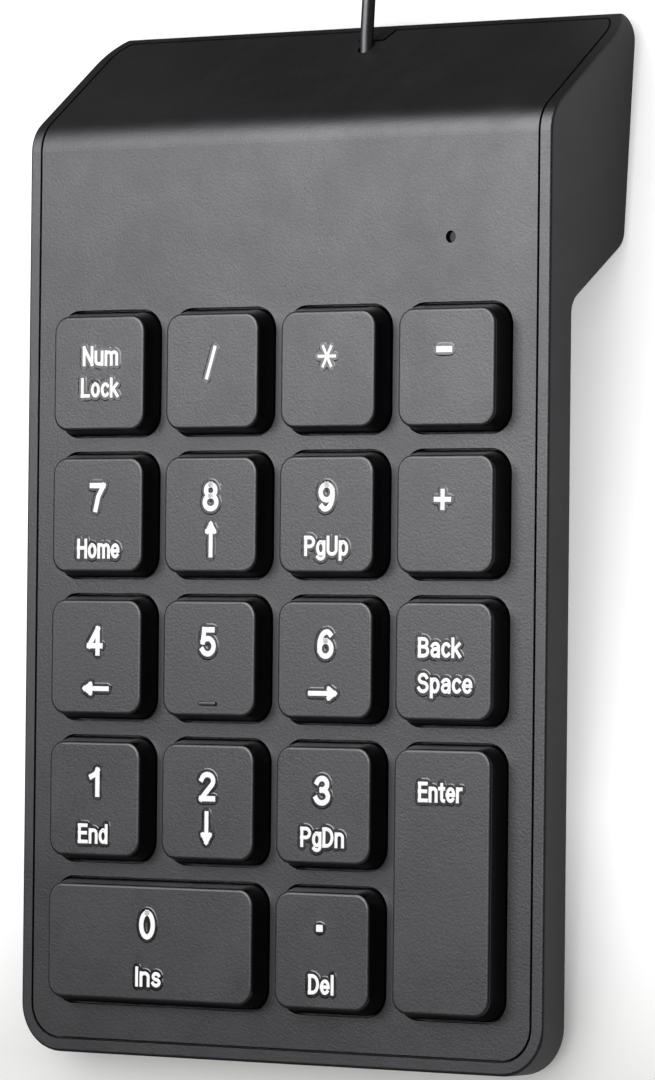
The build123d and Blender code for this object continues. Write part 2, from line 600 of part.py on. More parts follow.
def dome_sheet():
    """A silicone sheet with one dome under each key; a dome's nub meets the film when pressed."""
    film = sheet(FILMS_TOP, SHEET_TOP)
    foot, top, rise = DOME_RADIUS, DOME_TOP_RADIUS, PLUNGER_END
    inner_top = rise - DOME_WALL * 1.3
    nub, nub_length = NUB
    shell = [(0, inner_top - nub_length), (nub, inner_top - nub_length), (nub, inner_top),
             (top - DOME_WALL, inner_top), (foot - DOME_WALL - SHEET_THICK, FILMS_TOP),
             (foot, FILMS_TOP), (foot, SHEET_TOP), (top, rise - 0.4), (top - 0.4, rise), (0, rise)]
    dome = revolve(Plane.XZ * make_face(Polyline(*shell, close=True)), axis=Axis.Z)
    for name in KEYS:
        x, y, _, _ = key_centre(name)
        film = film - peg(x, y, FILMS_TOP - 1, SHEET_TOP + 1, foot - 0.1)
        film = film + Pos(x, y, 0) * dome
    return film


# ---------------------------------------------------------------- electronics

def clamp_screw_spots():
    """The two screws at the ends of the clamp bar."""
    return [(TAIL_X + side * CLAMP_SCREW_REACH, CLAMP_Y) for side in (-1, 1)]


def circuit_board():
    """The board that the films' tail is clamped to."""
    board = block((-BOARD[0] / 2, BOARD_FRONT, BOARD_UNDER), (BOARD[0] / 2, BOARD_REAR, BOARD_TOP))
    for x, y in BOARD_SCREW_SPOTS + clamp_screw_spots():
        board = board - peg(x, y, BOARD_TOP - 3, BOARD_TOP + 1, BOARD_SCREW_RADIUS + 0.1)
    return board


def controller_chip():
    """A small-outline chip with gull-wing legs on each long side."""
    (x, y), (width, length, height), (leg_width, reach, thick) = CHIP_PLACE, CHIP, LEG
    body = block((x - width / 2, y - length / 2, BOARD_TOP + thick / 2),
                 (x + width / 2, y + length / 2, BOARD_TOP + height))
    knee = BOARD_TOP + height / 2
    for side in (-1, 1):
        near, bend, far = (y + side * (length / 2 + out) for out in (-thick, reach / 2, reach))
        runs = [(near, bend, knee - thick, knee), (bend, bend - side * thick, BOARD_TOP, knee),
                (bend, far, BOARD_TOP, BOARD_TOP + thick)]
        for i in range(CHIP_LEGS):
            left = x + (i - (CHIP_LEGS - 1) / 2) * LEG_PITCH - leg_width / 2
            for start, end, low, high in runs:
                body = body + block((left, min(start, end), low), (left + leg_width, max(start, end), high))
    return body


def chip_parts(spots, size):
    """Identical small parts on the board, one at each place."""
    return [Pos(x, y, BOARD_TOP + size[2] / 2) * Box(*size) for x, y in spots]


def status_led():
    """The indicator's light source under its lens."""
    return chip_parts([(LED_X, LED_Y)], LED_SIZE)


def led_lens():
    """A clear pin in the panel, with a flange under it."""
    flange, thick = LENS_FLANGE
    pin = peg(LED_X, LED_Y, BOARD_TOP + LED_SIZE[2] + LOOSE, -LENS_SUNK, LENS_RADIUS)
    return pin + peg(LED_X, LED_Y, -COVER_THICK - thick, -COVER_THICK, flange)


def membrane_clamp():
    """The bar that presses the films' tail on the board."""
    bar = block((TAIL_X - CLAMP[0] / 2, CLAMP_Y - CLAMP[1] / 2, FILMS_TOP),
                (TAIL_X + CLAMP[0] / 2, CLAMP_Y + CLAMP[1] / 2, FILMS_TOP + CLAMP[2]))
    for x, y in clamp_screw_spots():
        bar = bar - peg(x, y, FILMS_TOP - 1, 0, BOARD_SCREW_RADIUS + 0.1)
    return bar


# ---------------------------------------------------------------- cord inside the case

def cable_connector():
    """A socket under the board, with its mouth downwards, and the plug in it as one housing."""
    x, y = CONNECTOR
    w, d, h = CONNECTOR_SIZE
    housing = block((x - w / 2, y - d / 2, BOARD_UNDER - h), (x + w / 2, y + d / 2, BOARD_UNDER))
    return fillet(housing.edges().filter_by(Axis.Z), 0.5)


def arcs(points):
    """A radius for each corner of a route: as large as its two runs allow."""
    radii = []
    for a, b, c in zip(points, points[1:], points[2:]):
        first, second = Vector(*b) - Vector(*a), Vector(*c) - Vector(*b)
        half_turn = math.radians(first.get_angle(second) / 2)
        radii.append(0.45 * min(first.length, second.length) / math.tan(half_turn))
    return radii


def tube(points, radius):
    """A round tube of straight runs joined by tangent arcs; prints its radii and checks its volume."""
    radii = arcs(points)
    path = FilletPolyline(*points, radius=radii)
    body = sweep(Plane(origin=path @ 0, z_dir=path % 0) * Circle(radius), path=path)
    expected = math.pi * radius ** 2 * path.length
    print(f"tube: length {path.length:.1f}, radii {[round(r, 1) for r in radii]},"
          f" volume {body.volume:.2f} of {expected:.2f}")
    return body


def cable_inner():
    """The jacketed cord from the collar to where its cores fan out."""
    start = COLLAR_REAR - COLLAR_LENGTH
    return tube([(CORD_X, start, CORD_Z), (CORD_X, start - 4.2, CORD_Z), INNER_JACKET_END], CORD_RADIUS)


def cable_cores():
    """Four insulated cores from the jacket's end up into the connector."""
    x, y = CONNECTOR
    cores = []
    end = Vector(*INNER_JACKET_END)
    for i in range(4):
        shift = (i - 1.5) * 0.42
        top_x = x + (i - 1.5) * 2.0
        points = [(end.X + shift * 0.8, end.Y - 0.75, end.Z + abs(shift) * 0.2),
                  (end.X + shift * 2 + 1.0, end.Y - 2.4, end.Z + 0.4 + 0.1 * i),
                  (top_x, y, BOARD_UNDER - CONNECTOR_SIZE[2] - 1.8),
                  (top_x, y, BOARD_UNDER - CONNECTOR_SIZE[2])]
        path = FilletPolyline(*points, radius=0.5)
        cores.append(sweep(Plane(origin=path @ 0, z_dir=path % 0) * Circle(CORE_RADIUS), path=path))
    return cores


def strain_relief():
    """A collar moulded on the cord, with a groove for the tray's rib."""
    radius, length = COLLAR_RADIUS, COLLAR_LENGTH
    near, far = (length - COLLAR_GROOVE) / 2, (length + COLLAR_GROOVE) / 2
    shape = [(0, 0), (radius, 0), (radius, near), (GROOVE_RADIUS, near), (GROOVE_RADIUS, far),
             (radius, far), (radius, length), (0, length)]
    collar = revolve(Plane.XZ * make_face(Polyline(*shape, close=True)), axis=Axis.Z)
    return Pos(CORD_X, COLLAR_REAR, CORD_Z) * Rot(90, 0, 0) * collar


# ---------------------------------------------------------------- free cord, in the row frame

COIL_PITCH = 2 * CORD_RADIUS + 0.05   # from one turn to the next, across and up
COIL_HALF_WIDTH = (COIL_ACROSS - 1) / 2 * COIL_PITCH
COIL_OUTER_TURN = COIL_MEAN_RADIUS + COIL_HALF_WIDTH
COIL_FIRST_HEIGHT = TIE_THICK + CORD_RADIUS
COIL_LAST_HEIGHT = COIL_FIRST_HEIGHT + (COIL_UP - 1) * COIL_PITCH
CASE_REAR = row_depth(CASE_LENGTH, -REAR_DEPTH) / 2
COIL_CENTRE = (CORD_X + COIL_REACH[0], CASE_REAR + COIL_REACH[1])
PLUG_END = (COIL_CENTRE[0] - 30.7, COIL_CENTRE[1] - 13.4, 4.0)   # where the cord enters the plug's neck

CORD_START = (DECK * Pos(CORD_X, COLLAR_REAR, CORD_Z)).position
COIL_LEFT = COIL_CENTRE[0] - COIL_OUTER_TURN
STRAIGHT_OUT = 12.5       # how far the cord keeps the direction of its hole
LEAD_ROUTE = [
    (CORD_X, CORD_START.Y, CORD_START.Z),
    (CORD_X, CORD_START.Y + STRAIGHT_OUT, CORD_START.Z + STRAIGHT_OUT * math.tan(math.radians(TILT))),
    (CORD_X + 0.3, COIL_CENTRE[1] - 20.4, 5.1),
    (COIL_LEFT, COIL_CENTRE[1] - 9.6, COIL_FIRST_HEIGHT + 0.6),
    (COIL_LEFT, COIL_CENTRE[1], COIL_FIRST_HEIGHT),
]
TAIL_ROUTE = [
    (COIL_CENTRE[0], COIL_CENTRE[1] - COIL_OUTER_TURN, COIL_LAST_HEIGHT),
    (COIL_CENTRE[0] - 10.2, COIL_CENTRE[1] - COIL_OUTER_TURN - 0.2, COIL_LAST_HEIGHT + 0.1),
    (PLUG_END[0] + 9.5, PLUG_END[1], PLUG_END[2]),
    PLUG_END,
]


def cord_coil():
    """The outer shape of the wound part of the cord."""
    inner = COIL_MEAN_RADIUS - COIL_HALF_WIDTH - CORD_RADIUS
    outer = COIL_OUTER_TURN + CORD_RADIUS
    height = COIL_LAST_HEIGHT + CORD_RADIUS - TIE_THICK
    ring = peg(0, 0, 0, height, outer) - peg(0, 0, -1, height + 1, inner)
    ring = fillet(ring.edges().filter_by(GeomType.CIRCLE), CORD_RADIUS * 0.8)
    return Pos(*COIL_CENTRE, TIE_THICK) * ring


def cable_tie():
    """A flat band closed round the bundle of turns, on the far side of the coil."""
    inner = COIL_MEAN_RADIUS - COIL_HALF_WIDTH - CORD_RADIUS - 0.25
    outer = COIL_OUTER_TURN + CORD_RADIUS + 0.02
    top = COIL_LAST_HEIGHT + CORD_RADIUS
    band = block((-TIE_HALF, inner - TIE_THICK, 0), (TIE_HALF, outer + TIE_THICK, top + TIE_THICK))
    band = band - block((-TIE_HALF - 1, inner, TIE_THICK), (TIE_HALF + 1, outer, top))
    return Pos(*COIL_CENTRE, 0) * band


def along_plug(start, size, height=0.0):
    """A box along the plug, from start on, centred across it."""
    x, y, z = PLUG_END
    return Pos(x - start - size[0] / 2, y, z + height) * Box(*size)


def usb_plug_body():
    """The soft moulding round the plug, with a ribbed neck where the cord goes in."""
    body = along_plug(PLUG_NECK, PLUG_BODY)
    body = fillet(body.edges().filter_by(Axis.X), 1.6)
    x, y, z = PLUG_END
    neck = Pos(x, y, z) * Rot(0, -90, 0) * Cone(*PLUG_NECK_RADII, PLUG_NECK + 0.5, align=(
        Align.CENTER, Align.CENTER, Align.MIN))
    for i in range(4):
        gap = Pos(x - 1.4 - 1.7 * i, y, z) * Rot(0, 90, 0) * (
            Cylinder(4, 0.7) - Cylinder(1.55 + 0.15 * i, 1.4))
        neck = neck - gap
    return body + neck - along_plug(PLUG_NECK + PLUG_BODY[0] - PLUG_ROOT,
                                    (PLUG_ROOT + 1, PLUG_SHELL[1], PLUG_SHELL[2]))


def usb_plug_shell():
    """The folded metal shell, with two square windows on each broad face."""
    length = PLUG_SHELL[0] + PLUG_ROOT
    start = PLUG_NECK + PLUG_BODY[0] - PLUG_ROOT
    shell = along_plug(start, (length, PLUG_SHELL[1], PLUG_SHELL[2]))
    shell = fillet(shell.edges().filter_by(Axis.X), 0.5)
    wall = 2 * PLUG_SHELL_WALL
    shell = shell - along_plug(start - 1, (length + 2, PLUG_SHELL[1] - wall, PLUG_SHELL[2] - wall))
    x, y, z = PLUG_END
    window = x - start - PLUG_ROOT - PLUG_SHELL[0] / 2 - 0.45
    for side in (-1, 1):
        shell = shell - Pos(window, y + side * 2.5, z) * Box(*PLUG_WINDOW, 2 * PLUG_SHELL[2])
    return shell


def usb_plug_insert():
    """The insulating tongue that carries the contacts."""
    start = PLUG_NECK + PLUG_BODY[0] - PLUG_ROOT
    width, height = (size - 2 * PLUG_SHELL_WALL for size in PLUG_SHELL[1:])
    length, thick = TONGUE
    root = along_plug(start, (PLUG_ROOT, width, height))
    return root + along_plug(start, (length, width, thick), (thick - height) / 2)


def usb_plug_contacts():
    """Four gilded contacts on the tongue: the outer two are longer."""
    width, thick = CONTACT
    top = (2 * PLUG_SHELL_WALL - PLUG_SHELL[2]) / 2 + TONGUE[1] + thick / 2
    start = PLUG_NECK + PLUG_BODY[0]
    contacts = []
    for offset, length in ((-3.5, 8.6), (-1.0, 7.6), (1.0, 7.6), (3.5, 8.6)):
        contacts.append(Pos(0, offset, 0) * along_plug(start, (length, width, thick), top))
    return contacts


# ---------------------------------------------------------------- write every node

def clamp_screws():
    """The pair through the clamp bar, the board and into the tray."""
    radius, head = BOARD_SCREW_HEAD
    top = FILMS_TOP + CLAMP[2] + head
    return [Pos(x, y, top) * screw(BOARD_SCREW_RADIUS, 5.6, radius, head, 0.35)
            for x, y in clamp_screw_spots()]


def board_screws():
    """The pair at the rear of the board."""
    radius, head = BOARD_SCREW_HEAD
    return [Pos(x, y, BOARD_TOP + head) * screw(BOARD_SCREW_RADIUS, 5.0, radius, head, 0.35)
            for x, y in BOARD_SCREW_SPOTS]


def case_screws():
    """Four screws that pull the cover's posts down on the tray's bosses, from below."""
    upside_down = Rot(180, 0, 0) * screw(SCREW_RADIUS, CASE_SCREW_LENGTH, SCREW_HEAD_RADIUS, SCREW_HEAD)
    return [Pos(x, y, SCREW_SEAT - SCREW_HEAD) * upside_down for x, y in CASE_SCREW_SPOTS]


ROW = Location((0, 0, 0))


def main():
    os.makedirs("parts", exist_ok=True)
    save("top_cover", top_cover())
    save("bottom_case", bottom_case())
    for name in KEYS:
        save(name, keycap(name))
    for name in STABILISED:
        save(name.replace("key", "stabiliser"), stabiliser_wire(name))
    save("dome_sheet", dome_sheet())
    save("membrane_lower", membrane_film(0))
    save("membrane_spacer", membrane_film(1, with_holes=True))
    save("membrane_upper", membrane_film(2))
    save("controller_board", circuit_board())
    save("controller_chip", controller_chip())
    save("capacitors", chip_parts(CAPACITOR_SPOTS, CAPACITOR))
    save("resistors", chip_parts(RESISTOR_SPOTS, RESISTOR))
    save("status_led", status_led())
    save("led_lens", led_lens())
    save("membrane_clamp", membrane_clamp())
    save("clamp_screws", clamp_screws())
    save("board_screws", board_screws())
    save("case_screws", case_screws())
    save("cable_connector", cable_connector())
    save("cable_inner", cable_inner())
    save("cable_cores", cable_cores())
    save("cable_strain_relief", strain_relief())
    for spot, (x, y) in FOOT_SPOTS.items():
        save(f"foot_{spot}", rubber_foot(x, y), ROW)
    save("usb_cord_lead", tube(LEAD_ROUTE, CORD_RADIUS), ROW)
    save("usb_cord_coil", cord_coil(), ROW)
    save("usb_cord_tail", tube(TAIL_ROUTE, CORD_RADIUS), ROW)
    save("cable_tie", cable_tie(), ROW)
    save("usb_plug_body", usb_plug_body(), ROW)
    save("usb_plug_shell", usb_plug_shell(), ROW)
    save("usb_plug_insert", usb_plug_insert(), ROW)
    save("usb_plug_contacts", usb_plug_contacts(), ROW)


main()
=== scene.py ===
# %% [markdown]
# # A wired numeric keypad, dressed for a picture
#
# The keypad was drawn as real parts first: a cover, a tray, eighteen keys and everything under them.
# This script loads those parts as a fixed frame. It then gives every surface a finish, prints the
# legends on the keys and lays the cord. The frame stays where it is, so that each finish ends up on a
# real part, and a pressed key takes its own print down with it.

import json
import math

import bmesh
import bpy
from mathutils import Matrix, Vector


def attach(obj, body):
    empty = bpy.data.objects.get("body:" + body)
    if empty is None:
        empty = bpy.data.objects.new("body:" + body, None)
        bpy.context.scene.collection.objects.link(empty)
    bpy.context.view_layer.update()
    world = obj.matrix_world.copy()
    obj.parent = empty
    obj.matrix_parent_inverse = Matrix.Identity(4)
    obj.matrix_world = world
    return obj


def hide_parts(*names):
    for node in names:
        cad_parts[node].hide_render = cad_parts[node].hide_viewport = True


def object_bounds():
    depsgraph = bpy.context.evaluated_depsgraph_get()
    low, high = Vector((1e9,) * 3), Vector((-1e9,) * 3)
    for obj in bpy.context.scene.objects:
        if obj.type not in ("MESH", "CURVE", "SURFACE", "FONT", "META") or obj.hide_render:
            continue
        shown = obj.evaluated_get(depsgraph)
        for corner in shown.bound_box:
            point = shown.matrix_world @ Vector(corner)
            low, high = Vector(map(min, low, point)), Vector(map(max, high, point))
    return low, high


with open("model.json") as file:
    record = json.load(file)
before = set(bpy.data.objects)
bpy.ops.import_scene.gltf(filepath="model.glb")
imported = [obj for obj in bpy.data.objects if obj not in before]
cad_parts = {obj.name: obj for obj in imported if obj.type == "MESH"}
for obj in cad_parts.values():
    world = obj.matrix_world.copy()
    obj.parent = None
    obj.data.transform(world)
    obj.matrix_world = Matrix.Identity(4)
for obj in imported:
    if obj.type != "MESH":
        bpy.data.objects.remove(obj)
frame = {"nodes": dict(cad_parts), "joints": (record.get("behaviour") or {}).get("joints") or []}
cad_low, cad_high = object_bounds()
MM = 0.001
print("parts in the frame:", len(frame["nodes"]))

# %% [markdown]
# ## The deck's own directions
#
# The keys stand on a deck that slopes down towards the user by a few degrees. Nothing that sits on
# it can be placed with plain up and forward. The direction in which the keys move is known from
# their joints, so the deck's own three directions come from there and not from a number typed in
# again: a steeper keypad would then still get its print flat on its keys.

# %% Directions of the deck
press = next(joint["axis"] for joint in frame["joints"] if joint["name"] == "key_5_press")
DECK_UP = -Vector(press).normalized()
DECK_RIGHT = Vector((1.0, 0.0, 0.0))
DECK_BACK = DECK_UP.cross(DECK_RIGHT)
print("the deck slopes by", round(math.degrees(math.atan2(DECK_BACK.z, DECK_BACK.y)), 2), "degrees")

# %% [markdown]
# ## The camera
#
# A product picture of a flat thing is taken with a long lens from well above it, a little to one
# side, so that its edges stay nearly parallel and one flank still shows. The camera here is to the
# right of the keypad, and leans until the keypad stands upright in the frame. Its three directions
# are written down as vectors, which says the lean as well, where a "look at this point" rule would
# leave it out.

# %% Set up the camera
CAMERA_PLACE = Vector((0.530718, -0.087998, 0.720559))
CAMERA_RIGHT = 0.80593193 * DECK_RIGHT + 0.01054816 * DECK_BACK - 0.59191424 * DECK_UP
CAMERA_UP = -0.00031174 * DECK_RIGHT + 0.99984868 * DECK_BACK + 0.01739327 * DECK_UP
FILM_SIZE = 36.0
FOCAL_LENGTH = 224.7


def make_camera():
    """A long lens at the place and with the lean given above."""
    data = bpy.data.cameras.new("camera")
    data.sensor_width = FILM_SIZE
    data.lens = FOCAL_LENGTH
    data.clip_start, data.clip_end = 0.01, 50.0
    camera = bpy.data.objects.new("camera", data)
    bpy.context.collection.objects.link(camera)
    backward = CAMERA_RIGHT.cross(CAMERA_UP)
    turned = Matrix((CAMERA_RIGHT, CAMERA_UP, backward)).transposed().to_4x4()
    camera.matrix_world = Matrix.Translation(CAMERA_PLACE) @ turned
    bpy.context.scene.camera = camera
    return camera


camera = make_camera()
print("camera", round(camera.location.length, 3), "m from the keypad's middle")

# %% [markdown]
# ## The cord
#
# A thin, limp data cord of about 1.2 m leaves a hole in the back. Almost all of it is wound into a
# neat round coil behind the keypad, as a new one comes out of its box, and a plug is on its end.
# A cord is best made as one curve with a round cross section: the curve is the line of its middle,
# and its thickness is a single number. The short ends are listed points. The coil is a
# spiral, so a loop works its points out: the turns lie beside each other, go inwards on one layer
# and outwards on the next.

# %% The cord's numbers
CORD_RADIUS = 0.9 * MM
LEAD_ROUTE = [(2.7, 61.8114, 6.01086), (2.7, 74.3114, 7.32466), (3.0, 87.592, 5.1),
              (4.7, 98.392, 1.9), (4.7, 107.992, 1.3)]
TAIL_ROUTE = [(19.2, 93.492, 6.85), (9.0, 93.292, 6.95), (-2.0, 94.592, 4.0), (-11.5, 94.592, 4.0)]
COIL_MIDDLE = (19.2, 107.992)
COIL_OUTER, TURN_SPACING = 14.5, 1.85
COIL_FLOOR, LAYER_SPACING = 1.3, 1.85
COIL_TURNS = 16.75
POINTS_PER_TURN = 24
TURNS_PER_LAYER = 4


# %% Points of the coil
def ease(t, start, end):
    """0 before start, 1 after end, and a soft step between them."""
    share = min(max((t - start) / (end - start), 0.0), 1.0)
    return 0.5 - 0.5 * math.cos(math.pi * share)


def coil_points():
    """The spiral of the coil, layer by layer, clockwise from above, in millimetres."""
    points = []
    for i in range(1, round(COIL_TURNS * POINTS_PER_TURN)):
        t = i / POINTS_PER_TURN
        rings = 0.0
        for turn in range(1, 4 * TURNS_PER_LAYER + 1):
            inward = ((turn - 1) // TURNS_PER_LAYER) % 2 == 0
            rings += ease(t, turn - 0.17, turn) * (1 if inward else -1)
        layers = sum(ease(t, TURNS_PER_LAYER * n + 0.65, TURNS_PER_LAYER * n + 0.80) for n in (1, 2, 3))
        radius = COIL_OUTER - TURN_SPACING * rings
        angle = math.pi - 2 * math.pi * t
        points.append((COIL_MIDDLE[0] + radius * math.cos(angle),
                       COIL_MIDDLE[1] + radius * math.sin(angle),
                       COIL_FLOOR + LAYER_SPACING * layers))
    return points


def make_cord():
    """One smooth open curve from the keypad's back, round the coil and to the plug."""
    route = LEAD_ROUTE + coil_points() + TAIL_ROUTE
    data = bpy.data.curves.new("usb_cord", "CURVE")
    data.dimensions = "3D"
    data.bevel_depth = 1.0
    data.bevel_resolution = 4
    data.resolution_u = 4
    data.use_fill_caps = True
    spline = data.splines.new("NURBS")
    spline.points.add(len(route) - 1)
    for point, place in zip(spline.points, route):
        point.co = (*(Vector(place) * MM), 1.0)
        point.radius = CORD_RADIUS
    spline.order_u = 3
    spline.use_endpoint_u = True
    cord = bpy.data.objects.new("usb_cord", data)
    bpy.context.collection.objects.link(cord)
    return cord


cord = make_cord()
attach(cord, "case")
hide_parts("usb_cord_lead", "usb_cord_coil", "usb_cord_tail")
print("cord with", len(cord.data.splines[0].points), "points")

# %% [markdown]
# ## Effects that several finishes share
#
# Nearly every plastic part of the keypad came out of a steel mould, and the mould's surface is what
# the eye reads: spark erosion leaves a fine pebble, handling leaves slightly smoother patches, and
# a little dust settles anywhere. Each of these is a small group of nodes with named inputs. A group
# is built once and placed in many materials, each with its own numbers, which keeps the finishes
# related to each other as they are on the real thing.

# %% Helpers for building node groups
def new_group(name, inputs, outputs):
    """An empty node group with number inputs and outputs, and its two end nodes."""
    group = bpy.data.node_groups.new(name, "ShaderNodeTree")
    for label, value in inputs.items():
        socket = group.interface.new_socket(label, in_out="INPUT", socket_type="NodeSocketFloat")
        socket.default_value = value
    for label in outputs:
        group.interface.new_socket(label, in_out="OUTPUT", socket_type="NodeSocketFloat")
    return group, group.nodes.new("NodeGroupInput"), group.nodes.new("NodeGroupOutput")


def calculate(tree, operation, *values):
    """A Math node. Each value is a number or a socket. Returns its output."""
    node = tree.nodes.new("ShaderNodeMath")
    node.operation = operation
    for socket, value in zip(node.inputs, values):
        if isinstance(value, bpy.types.NodeSocket):
            tree.links.new(value, socket)
        else:
            socket.default_value = value
    return node.outputs[0]


def remap(tree, value, low, high, new_low=0.0, new_high=1.0):
    """Stretches the stretch from low to high over new_low to new_high, cut off at both ends."""
    node = tree.nodes.new("ShaderNodeMapRange")
    tree.links.new(value, node.inputs["Value"])
    for label, number in (("From Min", low), ("From Max", high), ("To Min", new_low), ("To Max", new_high)):
        node.inputs[label].default_value = number
    return node.outputs["Result"]


def object_place(tree):
    """Where on the object a point is, in metres."""
    return tree.nodes.new("ShaderNodeTexCoord").outputs["Object"]


def noise(tree, scale, detail, roughness=0.55):
    """Cloudy noise over the object. Scale is a number or a socket."""
    node = tree.nodes.new("ShaderNodeTexNoise")
    tree.links.new(object_place(tree), node.inputs["Vector"])
    node.inputs["Detail"].default_value = detail
    node.inputs["Roughness"].default_value = roughness
    if isinstance(scale, bpy.types.NodeSocket):
        tree.links.new(scale, node.inputs["Scale"])
    else:
        node.inputs["Scale"].default_value = scale
    return node.outputs["Fac"]


# %% [markdown]
# ### Spark grain
#
# The matt pebble of the case and the key tops. It could be real geometry, but a grain is a quarter
# of a millimetre across and there would be millions of them. A bump from two noises does the same
# to the light: a cloudy one for the soft unevenness and a cellular one for the single pebbles.

# %% The spark grain group
def build_spark_grain():
    """Height of the pebble, and a slow shade that follows it."""
    group, start, end = new_group("spark_grain", {"Grains per Metre": 3200.0, "Pebble Share": 0.45},
                                  ["Height", "Shade"])
    fine = noise(group, start.outputs["Grains per Metre"], 3.0, 0.6)
    cells = group.nodes.new("ShaderNodeTexVoronoi")
    cells.feature = "SMOOTH_F1"
    cells.inputs["Smoothness"].default_value = 0.6
    group.links.new(object_place(group), cells.inputs["Vector"])
    group.links.new(start.outputs["Grains per Metre"], cells.inputs["Scale"])
    pebble = calculate(group, "SUBTRACT", 1.0, cells.outputs["Distance"])
    cloudy_share = calculate(group, "SUBTRACT", 1.0, start.outputs["Pebble Share"])
    height = calculate(group, "ADD", calculate(group, "MULTIPLY", pebble, start.outputs["Pebble Share"]),
                       calculate(group, "MULTIPLY", fine, cloudy_share))
    group.links.new(height, end.inputs["Height"])
    group.links.new(remap(group, height, 0.35, 0.75), end.inputs["Shade"])
    return group


SPARK_GRAIN = build_spark_grain()
print("group", SPARK_GRAIN.name)

# %% [markdown]
# ### Handled patches
#
# Skin polishes plastic a little and unevenly. A slow noise, a few centimetres across with finer
# streaks in it, says where. The finishes use it to shift their roughness by a few hundredths,
# which shows only where a lamp is mirrored, as on the real surface.

# %% The handled patches group
def build_handled_patches():
    """How much a place has been touched, from 0 to 1."""
    group, start, end = new_group("handled_patches", {"Patches per Metre": 60.0}, ["Touched"])
    wide = noise(group, start.outputs["Patches per Metre"], 2.0)
    streaks = noise(group, calculate(group, "MULTIPLY", start.outputs["Patches per Metre"], 6.0), 4.0, 0.65)
    both = calculate(group, "ADD", calculate(group, "MULTIPLY", wide, 0.65),
                     calculate(group, "MULTIPLY", streaks, 0.35))
    group.links.new(remap(group, both, 0.36, 0.64), end.inputs["Touched"])
    return group


HANDLED_PATCHES = build_handled_patches()
print("group", HANDLED_PATCHES.name)

# %% [markdown]
# ### Settled dust
#
# Tiny pale specks, far apart. A cellular pattern gives each cell a random number: only the cells
# with a high one get a speck, at their middle. A few are enough to tell the eye how small the
# object is.

# %% The settled dust group
def build_settled_dust():
    """1 on a speck of dust and 0 elsewhere."""
    group, start, end = new_group("settled_dust", {"Cells per Metre": 900.0, "Empty Share": 0.975},
                                  ["Dust"])
    cells = group.nodes.new("ShaderNodeTexVoronoi")
    group.links.new(object_place(group), cells.inputs["Vector"])
    group.links.new(start.outputs["Cells per Metre"], cells.inputs["Scale"])
    lot = group.nodes.new("ShaderNodeSeparateColor")
    group.links.new(cells.outputs["Color"], lot.inputs["Color"])
    chosen = calculate(group, "GREATER_THAN", lot.outputs["Red"], start.outputs["Empty Share"])
    middle = remap(group, cells.outputs["Distance"], 0.05, 0.12, 1.0, 0.0)
    group.links.new(calculate(group, "MULTIPLY", chosen, middle), end.inputs["Dust"])
    return group


SETTLED_DUST = build_settled_dust()
print("group", SETTLED_DUST.name)

# %% [markdown]
# ## Building a finish
#
# Every finish here starts the same way: one shader that takes a colour, a roughness and a bump.
# The helpers below put the three groups in front of it. What is the same all over a surface, such
# as how metallic it is, is set on the shader itself, and only what varies comes through a wire.

# %% Helpers for building materials
DUST_COLOUR = (0.45, 0.44, 0.42, 1.0)


def new_material(name, **fixed):
    """A material with one shader. The fixed values are set on the shader's own sockets."""
    material = bpy.data.materials.new(name)
    material.use_nodes = True
    tree = material.node_tree
    shader = tree.nodes["Principled BSDF"]
    for label, value in fixed.items():
        shader.inputs[label.replace("_", " ")].default_value = value
    return material, tree, shader


def place_group(tree, group, **values):
    """A group in a material, with its own values."""
    node = tree.nodes.new("ShaderNodeGroup")
    node.node_tree = group
    for label, value in values.items():
        node.inputs[label.replace("_", " ")].default_value = value
    return node


def mix_colours(tree, share, first, second):
    """A colour between two. The share is a socket, the colours are colours or sockets."""
    node = tree.nodes.new("ShaderNodeMix")
    node.data_type = "RGBA"
    tree.links.new(share, node.inputs["Factor"])
    for socket, value in ((node.inputs[6], first), (node.inputs[7], second)):
        if isinstance(value, bpy.types.NodeSocket):
            tree.links.new(value, socket)
        else:
            socket.default_value = (*value, 1.0)[:4]
    return node.outputs[2]


def add_bump(tree, shader, height, depth, strength):
    """Turns a height into small tilts of the surface. Depth is in metres."""
    bump = tree.nodes.new("ShaderNodeBump")
    bump.inputs["Distance"].default_value = depth
    if isinstance(strength, bpy.types.NodeSocket):
        tree.links.new(strength, bump.inputs["Strength"])
    else:
        bump.inputs["Strength"].default_value = strength
    tree.links.new(height, bump.inputs["Height"])
    tree.links.new(bump.outputs["Normal"], shader.inputs["Normal"])


def moulded(name, dark, light, rough, grain=3200.0, depth=0.00002, strength=0.3, dust=0.98, **fixed):
    """A grained and slightly handled plastic between two colours. Rough is (low, high)."""
    material, tree, shader = new_material(name, **fixed)
    pebble = place_group(tree, SPARK_GRAIN, Grains_per_Metre=grain)
    touched = place_group(tree, HANDLED_PATCHES)
    specks = place_group(tree, SETTLED_DUST, Empty_Share=dust)
    plain = mix_colours(tree, pebble.outputs["Shade"], dark, light)
    colour = mix_colours(tree, specks.outputs["Dust"], plain, DUST_COLOUR)
    tree.links.new(colour, shader.inputs["Base Color"])
    roughness = remap(tree, touched.outputs["Touched"], 0.0, 1.0, rough[1], rough[0])
    tree.links.new(roughness, shader.inputs["Roughness"])
    add_bump(tree, shader, pebble.outputs["Height"], depth, strength)
    return material


